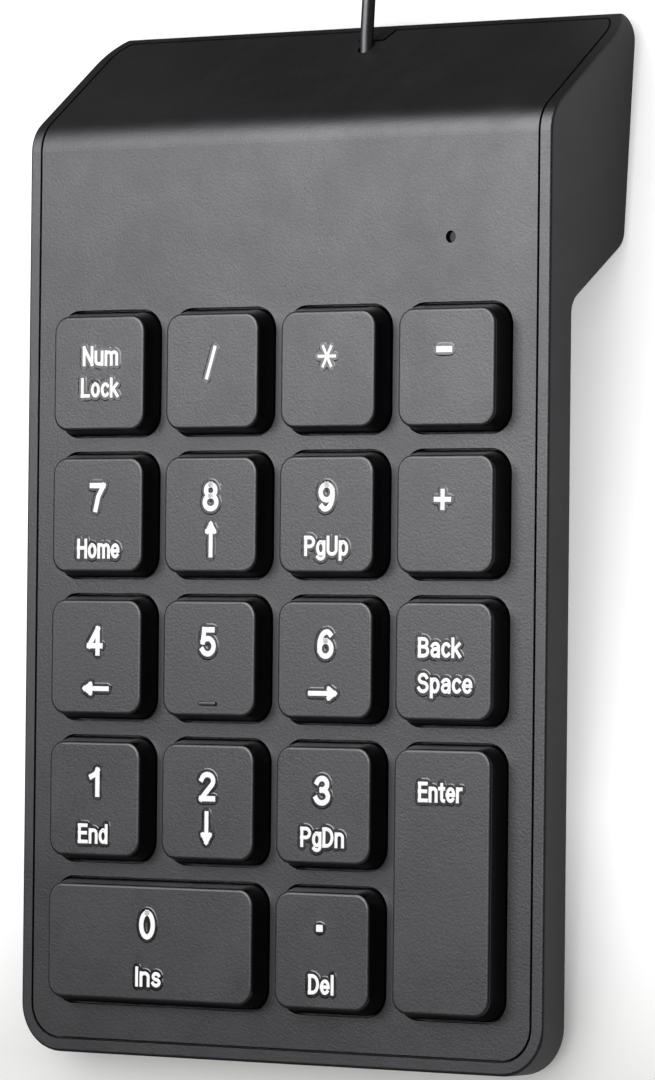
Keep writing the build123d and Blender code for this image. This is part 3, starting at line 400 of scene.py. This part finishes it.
def brushed(name, dark, light, rough, scratches=2500.0):
    """A rolled or drawn metal with fine scratches."""
    material, tree, shader = new_material(name, Metallic=1.0)
    pebble = place_group(tree, SPARK_GRAIN, Grains_per_Metre=scratches, Pebble_Share=0.1)
    touched = place_group(tree, HANDLED_PATCHES, Patches_per_Metre=150.0)
    tree.links.new(mix_colours(tree, touched.outputs["Touched"], dark, light), shader.inputs["Base Color"])
    tree.links.new(remap(tree, pebble.outputs["Shade"], 0.0, 1.0, *rough), shader.inputs["Roughness"])
    add_bump(tree, shader, pebble.outputs["Height"], 0.00001, 0.15)
    return material


def dress(material, *nodes):
    """Gives CAD parts this finish in place of the one they came with."""
    for name in nodes:
        slots = frame["nodes"][name].data.materials
        slots.clear()
        slots.append(material)


# %% [markdown]
# ## The case's plastic
#
# Cover and tray are one charcoal ABS, moulded in a spark-eroded tool. Its grain is fine and even.
# The tool marks scatter the light of a lamp into a soft pale sheen, so the colour itself can be
# very dark: most of the grey that one sees on the deck is the lamp.

# %% Dress the case
CASE_DARK, CASE_LIGHT = (0.0045, 0.0045, 0.0048), (0.0080, 0.0080, 0.0084)
case_plastic = moulded("case_plastic", CASE_DARK, CASE_LIGHT, (0.40, 0.48),
                       grain=3000.0, depth=0.00006, strength=0.42, dust=0.9995)
dress(case_plastic, "top_cover", "bottom_case")
print("case dressed")

# %% [markdown]
# ## The keys' plastic
#
# A keycap has two finishes from one mould: the top is grained like the deck, and the flanks are
# polished so that they slide without catching. On the object the flanks look like black glass. One
# material does both: it asks how far the surface faces away from the deck, and blends from polish
# to grain over the rounded edge between them. The polish is real and sits in the roughness. The
# flanks also get a far darker colour than the top, and that darker colour is painted shade.

# %% Dress the keys
KEY_NAMES = sorted(name for name in frame["nodes"] if name.startswith("key_"))
# the flank colour is painted shade: far darker than the top, though it is the same plastic
TOP_DARK, TOP_LIGHT, FLANK_PAINTED_SHADE = (0.0075, 0.0077, 0.0082), (0.014, 0.0142, 0.015), (0.0022, 0.0022, 0.0024)


def build_key_plastic():
    """Grained where the cap faces up, polished on its flanks, with painted shade on the flanks."""
    material, tree, shader = new_material("key_plastic")
    facing = tree.nodes.new("ShaderNodeVectorMath")
    facing.operation = "DOT_PRODUCT"
    tree.links.new(tree.nodes.new("ShaderNodeNewGeometry").outputs["Normal"], facing.inputs[0])
    facing.inputs[1].default_value = DECK_UP
    top = remap(tree, facing.outputs["Value"], 0.45, 0.85)
    pebble = place_group(tree, SPARK_GRAIN, Grains_per_Metre=3000.0)
    touched = place_group(tree, HANDLED_PATCHES, Patches_per_Metre=110.0)
    specks = place_group(tree, SETTLED_DUST, Empty_Share=0.9995)
    grained = mix_colours(tree, pebble.outputs["Shade"], TOP_DARK, TOP_LIGHT)
    # painted shade: where the cap faces away from the deck, its flanks get a far darker colour than its top
    plain = mix_colours(tree, top, FLANK_PAINTED_SHADE, grained)
    colour = mix_colours(tree, specks.outputs["Dust"], plain, DUST_COLOUR)
    tree.links.new(colour, shader.inputs["Base Color"])
    top_rough = remap(tree, touched.outputs["Touched"], 0.0, 1.0, 0.47, 0.39)
    extra = calculate(tree, "MULTIPLY", top, calculate(tree, "SUBTRACT", top_rough, 0.22))
    tree.links.new(calculate(tree, "ADD", extra, 0.22), shader.inputs["Roughness"])
    add_bump(tree, shader, calculate(tree, "MULTIPLY", pebble.outputs["Height"], top), 0.00006, 0.42)
    return material


key_plastic = build_key_plastic()
dress(key_plastic, *KEY_NAMES)
print("keys dressed:", len(KEY_NAMES))

# %% [markdown]
# ## Cord, feet and the other soft or small plastics
#
# The cord's PVC jacket is smooth but never shiny, the feet are dull rubber, the tie is a strip of
# black polyethylene. Inside are the milky silicone domes, clear printed films, a green board and
# its parts. They are hidden when the case is shut, and still get their own finish, because a part
# can be taken out and looked at.

# %% Dress the soft and small parts
cord_jacket = moulded("cord_jacket", (0.006, 0.006, 0.0065), (0.010, 0.010, 0.011), (0.36, 0.46),
                      grain=1500.0, depth=0.00001, strength=0.15)
cord.data.materials.append(cord_jacket)
dress(cord_jacket, "cable_inner", "cable_strain_relief", "usb_plug_body")
FEET = [name for name in frame["nodes"] if name.startswith("foot_")]
dress(moulded("foot_rubber", (0.010, 0.010, 0.010), (0.020, 0.020, 0.020), (0.7, 0.85), grain=1800.0),
      *FEET)
dress(moulded("tie_plastic", (0.012, 0.012, 0.012), (0.020, 0.020, 0.020), (0.35, 0.5)), "cable_tie")
dress(moulded("silicone", (0.50, 0.50, 0.48), (0.60, 0.60, 0.58), (0.45, 0.6)), "dome_sheet")
dress(moulded("printed_film", (0.42, 0.45, 0.44), (0.52, 0.55, 0.54), (0.15, 0.25), depth=0.00001),
      "membrane_lower", "membrane_spacer", "membrane_upper")
dress(moulded("circuit_board", (0.010, 0.070, 0.028), (0.016, 0.100, 0.040), (0.25, 0.4)),
      "controller_board")
dress(moulded("chip_resin", (0.006, 0.006, 0.006), (0.012, 0.012, 0.012), (0.4, 0.55)), "controller_chip")
dress(moulded("ceramic", (0.30, 0.22, 0.14), (0.40, 0.30, 0.20), (0.4, 0.5)), "capacitors", "resistors")
dress(moulded("clamp_plastic", (0.012, 0.012, 0.013), (0.02, 0.02, 0.022), (0.4, 0.5)), "membrane_clamp")
dress(moulded("connector_nylon", (0.62, 0.60, 0.54), (0.72, 0.70, 0.64), (0.4, 0.5)), "cable_connector")
dress(moulded("core_insulation", (0.40, 0.03, 0.02), (0.55, 0.05, 0.04), (0.35, 0.45)), "cable_cores")
dress(moulded("plug_insulator", (0.62, 0.62, 0.60), (0.74, 0.74, 0.72), (0.4, 0.5)), "usb_plug_insert")
dress(moulded("diode_white", (0.70, 0.68, 0.60), (0.80, 0.78, 0.70), (0.3, 0.4)), "status_led")
print("soft and small parts dressed")

# %% [markdown]
# ## The metals
#
# Screws are nickel-plated steel, the stabiliser wires are drawn spring steel, the plug's shell is
# bright tin over steel and its contacts are gold. They differ mostly in colour and in how fine
# their scratches are.

# %% Dress the metal parts
dress(brushed("screw_steel", (0.36, 0.36, 0.35), (0.46, 0.46, 0.45), (0.25, 0.4)),
      "case_screws", "board_screws", "clamp_screws")
dress(brushed("spring_steel", (0.30, 0.30, 0.30), (0.42, 0.42, 0.42), (0.2, 0.35)),
      "stabiliser_0", "stabiliser_enter")
dress(brushed("plug_metal", (0.52, 0.52, 0.51), (0.64, 0.64, 0.63), (0.18, 0.3)), "usb_plug_shell")
dress(brushed("gold", (0.70, 0.48, 0.16), (0.85, 0.60, 0.24), (0.15, 0.28)), "usb_plug_contacts")
print("metals dressed")

# %% [markdown]
# ## The indicator
#
# A small smoked window over a light, dark while the light is off. It sits a little below the deck
# and mirrors next to nothing, so it is near-black with very little shine: from any side it reads
# as a black dot.

# %% Dress the indicator
def build_lens():
    """Smoked plastic with a clear skin."""
    material, tree, shader = new_material("smoked_lens", Specular_IOR_Level=0.08)
    touched = place_group(tree, HANDLED_PATCHES, Patches_per_Metre=400.0)
    smoke = mix_colours(tree, touched.outputs["Touched"], (0.0010, 0.0010, 0.0012), (0.0025, 0.0025, 0.003))
    tree.links.new(smoke, shader.inputs["Base Color"])
    tree.links.new(remap(tree, touched.outputs["Touched"], 0.0, 1.0, 0.12, 0.2), shader.inputs["Roughness"])
    return material


dress(build_lens(), "led_lens")
print("indicator dressed")

# %% [markdown]
# ## Ink and varnish of the legends
#
# Each mark is white ink, printed in relief, and then sealed with a line of clear varnish half a
# millimetre wider than the ink all round. The varnish is what one notices from close up: a glossy black
# outline round every letter that catches the lamp on one side.

# %% Ink and varnish
INK = moulded("key_ink", (0.80, 0.80, 0.79), (0.92, 0.92, 0.91), (0.30, 0.42),
              grain=4200.0, depth=0.00001, strength=0.2, dust=0.999)


def build_varnish():
    """Clear varnish over dark plastic."""
    material, tree, shader = new_material("key_varnish")
    touched = place_group(tree, HANDLED_PATCHES, Patches_per_Metre=700.0)
    under = mix_colours(tree, touched.outputs["Touched"], (0.0035, 0.0035, 0.0038), (0.0075, 0.0075, 0.008))
    tree.links.new(under, shader.inputs["Base Color"])
    rough = remap(tree, touched.outputs["Touched"], 0.0, 1.0, 0.24, 0.32)
    tree.links.new(rough, shader.inputs["Roughness"])
    return material


VARNISH = build_varnish()
print("ink and varnish ready")

# %% [markdown]
# ## The legends' letters
#
# The print is a plain, narrow, bold lettering. It could come from a text object and a font, but the
# narrow shapes would then be stretched ones, with thin uprights and thick crossbars. Here each
# letter is drawn the way an engraver's pantograph does it: as a few strokes, straight or curved,
# along the middle of its lines. A stroke has no thickness yet. The same strokes later give the ink
# and, with a broader pen, the varnish round it.

# %% A helper for curved strokes
ARC_STEP = 18.0


def arc(x, y, across, along, start, end):
    """Points on an ellipse round (x, y), from one angle to another, in degrees."""
    count = max(2, round(abs(end - start) / ARC_STEP))
    angles = [math.radians(start + (end - start) * i / count) for i in range(count + 1)]
    return [(x + across * math.cos(angle), y + along * math.sin(angle)) for angle in angles]


def oval(x, y, across, along):
    """A closed round stroke: its last point is its first."""
    return arc(x, y, across, along, 90, 450)


# %% [markdown]
# ### The alphabet
#
# Only the letters that the keys need are drawn. A capital is one unit tall, a small letter not
# quite three quarters, and the widths are about half of that, which makes the lettering narrow.

# %% Strokes of each letter, digit and sign
SMALL = 0.72
ARCH = arc(0.2, 0.5, 0.2, 0.22, 180, 0) + [(0.4, 0.0)]
BOWL = oval(0.2, 0.36, 0.2, 0.36)
LETTERS = {
    "0": [oval(0.25, 0.5, 0.25, 0.5)],
    "1": [[(0.0, 0.74), (0.16, 0.84), (0.25, 1.0)], [(0.25, 1.0), (0.25, 0.0)]],
    "2": [arc(0.25, 0.74, 0.25, 0.26, 165, -35) + [(0.0, 0.0)], [(0.0, 0.0), (0.5, 0.0)]],
    "3": [arc(0.24, 0.765, 0.21, 0.235, 160, -90), arc(0.24, 0.265, 0.25, 0.265, 90, -160)],
    "4": [[(0.37, 0.0), (0.37, 1.0)], [(0.37, 1.0), (0.0, 0.3)], [(0.0, 0.3), (0.5, 0.3)]],
    "5": [[(0.44, 1.0), (0.1, 1.0)], [(0.1, 1.0), (0.04, 0.5)], arc(0.24, 0.32, 0.25, 0.32, 140, -150)],
    "6": [oval(0.25, 0.31, 0.24, 0.31),
          arc(0.3, 0.4, 0.3, 0.6, 195, 90) + arc(0.27, 0.8, 0.19, 0.2, 80, 30)],
    "7": [[(0.0, 1.0), (0.48, 1.0)], [(0.48, 1.0), (0.27, 0.55), (0.16, 0.0)]],
    "8": [oval(0.25, 0.765, 0.2, 0.235), oval(0.25, 0.27, 0.25, 0.27)],
    "9": [oval(0.24, 0.69, 0.24, 0.31),
          arc(0.19, 0.6, 0.3, 0.6, 15, -90) + arc(0.22, 0.2, 0.19, 0.2, 260, 210)],
    "N": [[(0.0, 0.0), (0.0, 1.0)], [(0.0, 1.0), (0.5, 0.0)], [(0.5, 0.0), (0.5, 1.0)]],
    "H": [[(0.0, 0.0), (0.0, 1.0)], [(0.0, 0.54), (0.5, 0.54)], [(0.5, 0.0), (0.5, 1.0)]],
    "L": [[(0.0, 1.0), (0.0, 0.0)], [(0.0, 0.0), (0.42, 0.0)]],
    "I": [[(0.0, 0.0), (0.0, 1.0)]],
    "E": [[(0.0, 0.0), (0.0, 1.0)], [(0.0, 1.0), (0.43, 1.0)], [(0.0, 0.54), (0.4, 0.54)],
          [(0.0, 0.0), (0.45, 0.0)]],
    "P": [[(0.0, 0.0), (0.0, 1.0)], [(0.0, 1.0)] + arc(0.24, 0.73, 0.24, 0.27, 90, -90) + [(0.0, 0.46)]],
    "B": [[(0.0, 0.0), (0.0, 1.0)], [(0.0, 1.0)] + arc(0.24, 0.77, 0.2, 0.23, 90, -90) + [(0.0, 0.54)],
          [(0.0, 0.54)] + arc(0.24, 0.27, 0.25, 0.27, 90, -90) + [(0.0, 0.0)]],
    "D": [[(0.0, 0.0), (0.0, 1.0)], [(0.0, 1.0)] + arc(0.16, 0.5, 0.34, 0.5, 90, -90) + [(0.0, 0.0)]],
    "U": [[(0.0, 1.0)] + arc(0.25, 0.27, 0.25, 0.27, 180, 360) + [(0.5, 1.0)]],
    "S": [arc(0.25, 0.765, 0.22, 0.235, 20, 255) + arc(0.25, 0.265, 0.25, 0.265, 75, -160)],
    "a": [arc(0.2, 0.52, 0.19, 0.2, 155, 0) + [(0.39, 0.0)],
          [(0.39, 0.42)] + arc(0.17, 0.2, 0.17, 0.2, 100, 290) + [(0.39, 0.14)]],
    "c": [arc(0.21, 0.36, 0.21, 0.36, 45, 315)],
    "d": [BOWL, [(0.4, 0.0), (0.4, 1.0)]],
    "e": [[(0.0, 0.36), (0.41, 0.36)], arc(0.21, 0.36, 0.21, 0.36, 0, 315)],
    "g": [BOWL, [(0.4, SMALL), (0.4, 0.0)] + arc(0.2, -0.1, 0.2, 0.18, 0, -150)],
    "k": [[(0.0, 0.0), (0.0, 1.0)], [(0.37, SMALL), (0.02, 0.3)], [(0.14, 0.42), (0.4, 0.0)]],
    "l": [[(0.0, 0.0), (0.0, 1.0)]],
    "m": [[(0.0, 0.0), (0.0, SMALL)], arc(0.17, 0.53, 0.17, 0.19, 180, 0) + [(0.34, 0.0)],
          arc(0.51, 0.53, 0.17, 0.19, 180, 0) + [(0.68, 0.0)]],
    "n": [[(0.0, 0.0), (0.0, SMALL)], ARCH],
    "o": [oval(0.21, 0.36, 0.21, 0.36)],
    "p": [[(0.0, -0.28), (0.0, SMALL)], BOWL],
    "r": [[(0.0, 0.0), (0.0, SMALL)], arc(0.2, 0.48, 0.2, 0.24, 180, 80)],
    "s": [arc(0.19, 0.545, 0.16, 0.175, 25, 255) + arc(0.19, 0.18, 0.18, 0.18, 75, -160)],
    "t": [[(0.12, 0.95)] + arc(0.25, 0.13, 0.13, 0.13, 180, 270), [(0.0, SMALL), (0.25, SMALL)]],
    "u": [[(0.0, SMALL)] + arc(0.2, 0.22, 0.2, 0.22, 180, 360), [(0.4, SMALL), (0.4, 0.0)]],
    "/": [[(0.0, 0.0), (0.3, 1.0)]],
    "*": [[(0.0, 0.43), (0.87, 0.43)], [(0.22, 0.0), (0.65, 0.86)], [(0.22, 0.86), (0.65, 0.0)]],
    "+": [[(0.0, 0.5), (1.0, 0.5)], [(0.5, 0.0), (0.5, 1.0)]],
    "-": [[(0.0, 0.0), (1.0, 0.0)]],
    ".": [[(0.0, 0.0), (0.1, 0.0)]],
}
print("signs drawn:", len(LETTERS))

# %% [markdown]
# ### Where the legends are printed
#
# Each key has its list of words. A word's place is given as its middle, its width, the foot of its
# letters and the height of its capitals, which is what one would measure with a ruler. The arrows
# of the cursor keys are a straight shaft and a triangle.

# %% Where each mark goes, in millimetres from the middle of its key
DIGIT_TALL, DIGIT_WIDE, WORD_TALL = 4.0, 2.75, 2.72
DIGIT_PEN, WORD_PEN, SIGN_PEN = 0.4, 0.275, 0.36
# text, middle across, width, foot of the letters, height of the capitals, half the pen's width
LEGENDS = {
    "key_num_lock": [("Num", 0.3, 6.1, 0.95, WORD_TALL, WORD_PEN),
                     ("Lock", 0.25, 6.5, -3.3, WORD_TALL, WORD_PEN)],
    "key_divide": [("/", -0.1, 1.85, -1.1, 4.5, 0.29)],
    "key_multiply": [("*", -0.05, 3.0, 0.2, 2.95, 0.24)],
    "key_subtract": [("-", -0.25, 2.6, 1.86, 0.88, 0.44)],
    "key_7": [("7", 0.1, DIGIT_WIDE, 0.35, DIGIT_TALL, DIGIT_PEN),
              ("Home", 0.3, 7.3, -5.85, WORD_TALL, WORD_PEN)],
    "key_8": [("8", 0.12, DIGIT_WIDE, 0.4, DIGIT_TALL, DIGIT_PEN)],
    "key_9": [("9", 0.15, DIGIT_WIDE, 0.3, DIGIT_TALL, DIGIT_PEN),
              ("PgUp", 0.15, 7.2, -5.45, WORD_TALL, WORD_PEN)],
    "key_add": [("+", -0.3, 2.8, 0.52, 2.8, SIGN_PEN)],
    "key_4": [("4", -0.1, DIGIT_WIDE, 0.15, DIGIT_TALL, DIGIT_PEN)],
    "key_5": [("5", -0.1, DIGIT_WIDE, 0.2, DIGIT_TALL, DIGIT_PEN)],
    "key_6": [("6", 0.2, DIGIT_WIDE, 0.1, DIGIT_TALL, DIGIT_PEN)],
    "key_backspace": [("Back", -0.54, 6.9, 0.45, WORD_TALL, WORD_PEN),
                      ("Space", 0.34, 8.8, -4.16, WORD_TALL, WORD_PEN)],
    "key_1": [("1", 0.07, 1.85, 0.25, DIGIT_TALL, DIGIT_PEN),
              ("End", -0.1, 5.1, -6.0, WORD_TALL, WORD_PEN)],
    "key_2": [("2", 0.08, DIGIT_WIDE, 0.08, DIGIT_TALL, DIGIT_PEN)],
    "key_3": [("3", -0.1, DIGIT_WIDE, -0.05, DIGIT_TALL, DIGIT_PEN),
              ("PgDn", 0.0, 7.15, -5.5, WORD_TALL, WORD_PEN)],
    "key_enter": [("Enter", -0.19, 7.1, 10.29, WORD_TALL, WORD_PEN)],
    "key_0": [("0", -0.25, DIGIT_WIDE, 0.47, DIGIT_TALL, DIGIT_PEN),
              ("Ins", 0.0, 4.35, -5.8, WORD_TALL, WORD_PEN)],
    "key_decimal": [(".", -0.27, 1.15, 2.5, 1.0, 0.5), ("Del", 0.04, 4.2, -5.7, WORD_TALL, WORD_PEN)],
}
# middle of the arrow, quarter turns from pointing right, length
ARROWS = {"key_8": (0.2, -3.13, 1, 5.1), "key_2": (0.0, -3.53, 3, 4.8),
          "key_4": (0.0, -4.23, 2, 4.8), "key_6": (-0.05, -4.36, 0, 5.0)}
ARROW_PEN = 0.36
HEAD_LONG, HEAD_WIDE = 1.95, 2.35
print("legends:", sum(map(len, LEGENDS.values())), "words and", len(ARROWS), "arrows")


# %% Strokes of a whole word, and of an arrow
LETTER_GAP = 0.24


def word_strokes(text, middle, width, foot, height, pen):
    """The strokes of a word, stretched to its printed width and height, each with its pen."""
    strokes, place = [], 0.0
    for letter in text:
        shape = LETTERS[letter]
        strokes += [[(x + place, y) for x, y in stroke] for stroke in shape]
        place += max(x for stroke in shape for x, _ in stroke) + LETTER_GAP
    wide = place - LETTER_GAP
    tall = max(y for stroke in strokes for _, y in stroke) or 1.0
    across, along = (width - 2 * pen) / wide, (height - 2 * pen) / tall
    return [([(middle + (x - wide / 2) * across, foot + pen + y * along) for x, y in stroke], pen)
            for stroke in strokes]


def arrow_strokes(x, y, quarter_turns, length):
    """A shaft and a closed triangle whose pen fills it."""
    tip, tail = length / 2, -length / 2
    slant = math.hypot(HEAD_LONG, HEAD_WIDE / 2)
    pen = HEAD_LONG * HEAD_WIDE / (HEAD_WIDE + 2 * slant) / 2
    neck = tip - HEAD_LONG + pen
    point = tip - pen * 2 * slant / HEAD_WIDE
    half = HEAD_WIDE / 2 * (point - neck) / HEAD_LONG
    strokes = [([(tail + ARROW_PEN, 0.0), (neck, 0.0)], ARROW_PEN), ([(neck, -half), (point, 0.0)], pen),
               ([(point, 0.0), (neck, half)], pen), ([(neck, half), (neck, -half)], pen)]
    turn = Matrix.Rotation(quarter_turns * math.pi / 2, 2)
    return [([tuple(turn @ Vector(spot) + Vector((x, y))) for spot in stroke], width)
            for stroke, width in strokes]


# %% [markdown]
# ### From strokes to ink and varnish
#
# Blender's curves take a round pen: a bevel depth for its width, and a radius at each point. Each
# stroke becomes a curve whose ends are either cut square, as in the ink, or rounded by letting the
# radius shrink, as the varnish does by itself when it flows. Pressed down and planed off at the
# top, the round tubes become low, flat lines like a real print. Where two strokes cross, each lies
# a thousandth of a millimetre above the one before: two faces in exactly the same place would
# shade each other and leave grey patches.

# %% The pen
ROUND_END = [(math.sin(math.radians(a)), math.cos(math.radians(a))) for a in (30, 55, 75, 88)]
PEN_STEEPNESS = 0.35
STROKE_STEP = 0.001


def pen_line(stroke, radius, rounded):
    """Points and radii of one stroke, with its two ends added."""
    places = [Vector((x, y, 0.0)) for x, y in stroke]
    first, last = (places[0] - places[1]).normalized(), (places[-1] - places[-2]).normalized()
    steps = ROUND_END if rounded else [(0.9, 1.0)]
    before = [(places[0] + first * radius * out, radius * size) for out, size in reversed(steps)]
    after = [(places[-1] + last * radius * out, radius * size) for out, size in steps]
    return before + [(place, radius) for place in places] + after


def stroke_mesh(line):
    """The mesh of a tube along points that each have a radius."""
    data = bpy.data.curves.new("stroke", "CURVE")
    data.dimensions = "3D"
    data.bevel_depth = 1.0
    data.bevel_resolution = 3
    data.use_fill_caps = True
    spline = data.splines.new("POLY")
    spline.points.add(len(line) - 1)
    for point, (place, radius) in zip(spline.points, line):
        point.co = (*place, 1.0)
        point.radius = radius
    holder = bpy.data.objects.new("stroke", data)
    mesh = holder.to_mesh().copy()
    holder.to_mesh_clear()
    bpy.data.objects.remove(holder)
    bpy.data.curves.remove(data)
    return mesh


def print_mesh(strokes, extra, top, rounded):
    """All strokes drawn with their pens, extra wider, each planed off a hair above the one before."""
    shape = bmesh.new()
    for number, (stroke, pen) in enumerate(strokes):
        tube = stroke_mesh(pen_line(stroke, pen + extra, rounded))
        planed = top + number * STROKE_STEP
        for vertex in tube.vertices:
            vertex.co.z = max(-top, min(vertex.co.z * PEN_STEEPNESS, planed))
        shape.from_mesh(tube)
        bpy.data.meshes.remove(tube)
    mesh = bpy.data.meshes.new("print")
    shape.to_mesh(mesh)
    shape.free()
    mesh.shade_flat()
    return mesh


# %% [markdown]
# ### Setting the print on its key
#
# A key's top is found from its own mesh: its middle across and along the deck, and the height of a
# plain key, because the middle key of the pad has a small bar for the finger that stands higher.

# %% Print all the keys
INK_TOP, VARNISH_TOP = 0.08, 0.035
VARNISH_REACH = 0.46


def reach(node, direction):
    """Lowest and highest place of a CAD part along a direction."""
    places = [vertex.co.dot(direction) for vertex in frame["nodes"][node].data.vertices]
    return min(places), max(places)


TOP_HEIGHT = reach("key_8", DECK_UP)[1]


def key_frame(key):
    """The place of a key's top, with x across it, y towards the back and z away from it, in mm."""
    across, along = sum(reach(key, DECK_RIGHT)) / 2, sum(reach(key, DECK_BACK)) / 2
    middle = across * DECK_RIGHT + along * DECK_BACK + TOP_HEIGHT * DECK_UP
    axes = Matrix((DECK_RIGHT, DECK_BACK, DECK_UP)).transposed().to_4x4()
    return Matrix.Translation(middle) @ axes @ Matrix.Scale(MM, 4)


def add_piece(name, mesh, material, place, body):
    """A piece made of a mesh in millimetres, laid in its place and riding on a body."""
    mesh.transform(place)
    mesh.materials.clear()
    mesh.materials.append(material)
    piece = bpy.data.objects.new(name, mesh)
    bpy.context.collection.objects.link(piece)
    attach(piece, body)
    return piece


for key in KEY_NAMES:
    strokes = [stroke for word in LEGENDS[key] for stroke in word_strokes(*word)]
    if key in ARROWS:
        strokes += arrow_strokes(*ARROWS[key])
    label = key.replace("key_", "")
    add_piece("varnish_" + label, print_mesh(strokes, VARNISH_REACH, VARNISH_TOP, True), VARNISH,
              key_frame(key), key)
    add_piece("ink_" + label, print_mesh(strokes, 0.0, INK_TOP, False), INK, key_frame(key), key)
print("printed keys:", len(KEY_NAMES))

# %% [markdown]
# ## Floor and light
#
# The keypad lies on a plain pale sheet under soft boxes, as products are pictured. Dark glossy
# plastic shows the room more than its own colour. So the brightness that a surface mirrors is set
# apart from the brightness that falls on it: the floor and the room are pale to the eye and dim in
# a reflection. To the eye the paper also gets a painted glow, which washes out the keypad's shadow
# on it, and painted shade that turns it grey towards the front. A large box on the left is what the
# deck mirrors; it hangs near the keypad's back end, and its light therefore fades towards the front
# keys.

# %% The floor
FLOOR_COLOUR = (0.90, 0.90, 0.90, 1.0)
DIM_IN_MIRRORS, PALE_IN_MIRRORS = (0.03, 0.03, 0.03), (0.8, 0.8, 0.81)
# painted light: a glow that only the camera sees, which whitens the paper and washes out the keypad's
# shadow on it
LIFT = (0.33, 0.33, 0.33)      # added to the paper's brightness where it is seen directly
# painted shade: the grey of the paper towards the front
FRONT_PAINTED_SHADE = (0.73, 0.73, 0.72)


def make_floor():
    """A wide pale sheet just under the feet."""
    mesh = bpy.data.meshes.new("floor")
    shape = bmesh.new()
    bmesh.ops.create_grid(shape, x_segments=8, y_segments=8, size=4.0)
    shape.to_mesh(mesh)
    shape.free()
    floor = bpy.data.objects.new("floor", mesh)
    floor.location.z = cad_low.z
    bpy.context.collection.objects.link(floor)
    return floor


def build_floor_material():
    """Pale paper that looks dim in a mirror, with a painted glow for the camera and painted shade towards
    the front.
    """
    material, tree, shader = new_material("pale_paper", Roughness=0.9, Emission_Strength=1.0)
    light = tree.nodes.new("ShaderNodeLightPath")
    fibres = noise(tree, 300.0, 3.0)
    place = tree.nodes.new("ShaderNodeSeparateXYZ")
    tree.links.new(object_place(tree), place.inputs["Vector"])
    # painted shade: towards the front the paper turns grey and its painted glow fades out
    to_the_front = remap(tree, place.outputs["Y"], -0.035, -0.070)
    paper = mix_colours(tree, fibres, FLOOR_COLOUR, (0.92, 0.92, 0.92))
    paper = mix_colours(tree, to_the_front, paper, FRONT_PAINTED_SHADE)
    lift = mix_colours(tree, to_the_front, LIFT, (0.0, 0.0, 0.0))
    to_the_right = remap(tree, place.outputs["X"], 0.025, 0.05)
    mirrored = mix_colours(tree, to_the_right, DIM_IN_MIRRORS, PALE_IN_MIRRORS)
    tree.links.new(mix_colours(tree, light.outputs["Is Glossy Ray"], paper, mirrored),
                   shader.inputs["Base Color"])
    tree.links.new(mix_colours(tree, light.outputs["Is Camera Ray"], (0.0, 0.0, 0.0), lift),
                   shader.inputs["Emission Color"])
    return material


floor = make_floor()
floor.data.materials.append(build_floor_material())
print("floor at", round(floor.location.z * 1000, 3), "mm")

# %% [markdown]
# ### The room and the soft boxes
#
# A soft box is an area lamp. Its place is worked out as a reflection: the camera's line is
# mirrored in the surface that should show the lamp, and the lamp hangs on that line. For the deck
# that is up and to the left. A second one hangs overhead for the right rim and the lit edges of
# the keys.

# %% Room and lamps
ROOM_STRENGTH, ROOM_IN_MIRRORS = 1.15, 0.05
LAMP_COLOUR = (0.965, 0.95, 1.0)


def make_room():
    """Even pale light from everywhere, dimmer where it is mirrored."""
    world = bpy.data.worlds.new("room")
    bpy.context.scene.world = world
    world.use_nodes = True
    tree = world.node_tree
    light = tree.nodes.new("ShaderNodeLightPath")
    strength = remap(tree, light.outputs["Is Glossy Ray"], 0.0, 1.0, ROOM_STRENGTH, ROOM_IN_MIRRORS)
    tree.links.new(strength, tree.nodes["Background"].inputs["Strength"])
    tree.nodes["Background"].inputs["Color"].default_value = (1.0, 1.0, 1.0, 1.0)


def mirror_line(place, normal):
    """The direction in which a spot on the object mirrors the camera's line."""
    to_camera = (CAMERA_PLACE - place).normalized()
    return 2 * normal.dot(to_camera) * normal - to_camera


def soft_box(name, place, target, size, brightness):
    """An area lamp that faces a target. Brightness is what a mirror would show of it."""
    data = bpy.data.lights.new(name, "AREA")
    data.shape = "RECTANGLE"
    data.size, data.size_y = size
    data.energy = brightness * math.pi * size[0] * size[1]
    data.color = LAMP_COLOUR
    lamp = bpy.data.objects.new(name, data)
    lamp.location = place
    lamp.rotation_euler = (target - place).to_track_quat("-Z", "Y").to_euler()
    lamp.visible_diffuse = False
    bpy.context.collection.objects.link(lamp)
    return lamp


make_room()
BEHIND_DECK = Vector((0.13, 0.145, 0.025))
deck_box = soft_box("deck_box", BEHIND_DECK + 0.55 * mirror_line(BEHIND_DECK, DECK_UP), BEHIND_DECK,
                    (0.48, 0.48), 12.0)
top_box = soft_box("top_box", Vector((0.05, 0.10, 0.75)), Vector((0.0, 0.0, 0.0)), (0.3, 0.3), 4.3)
bpy.context.scene.view_settings.view_transform = "Standard"
print("lamps:", [lamp.name for lamp in (deck_box, top_box)])
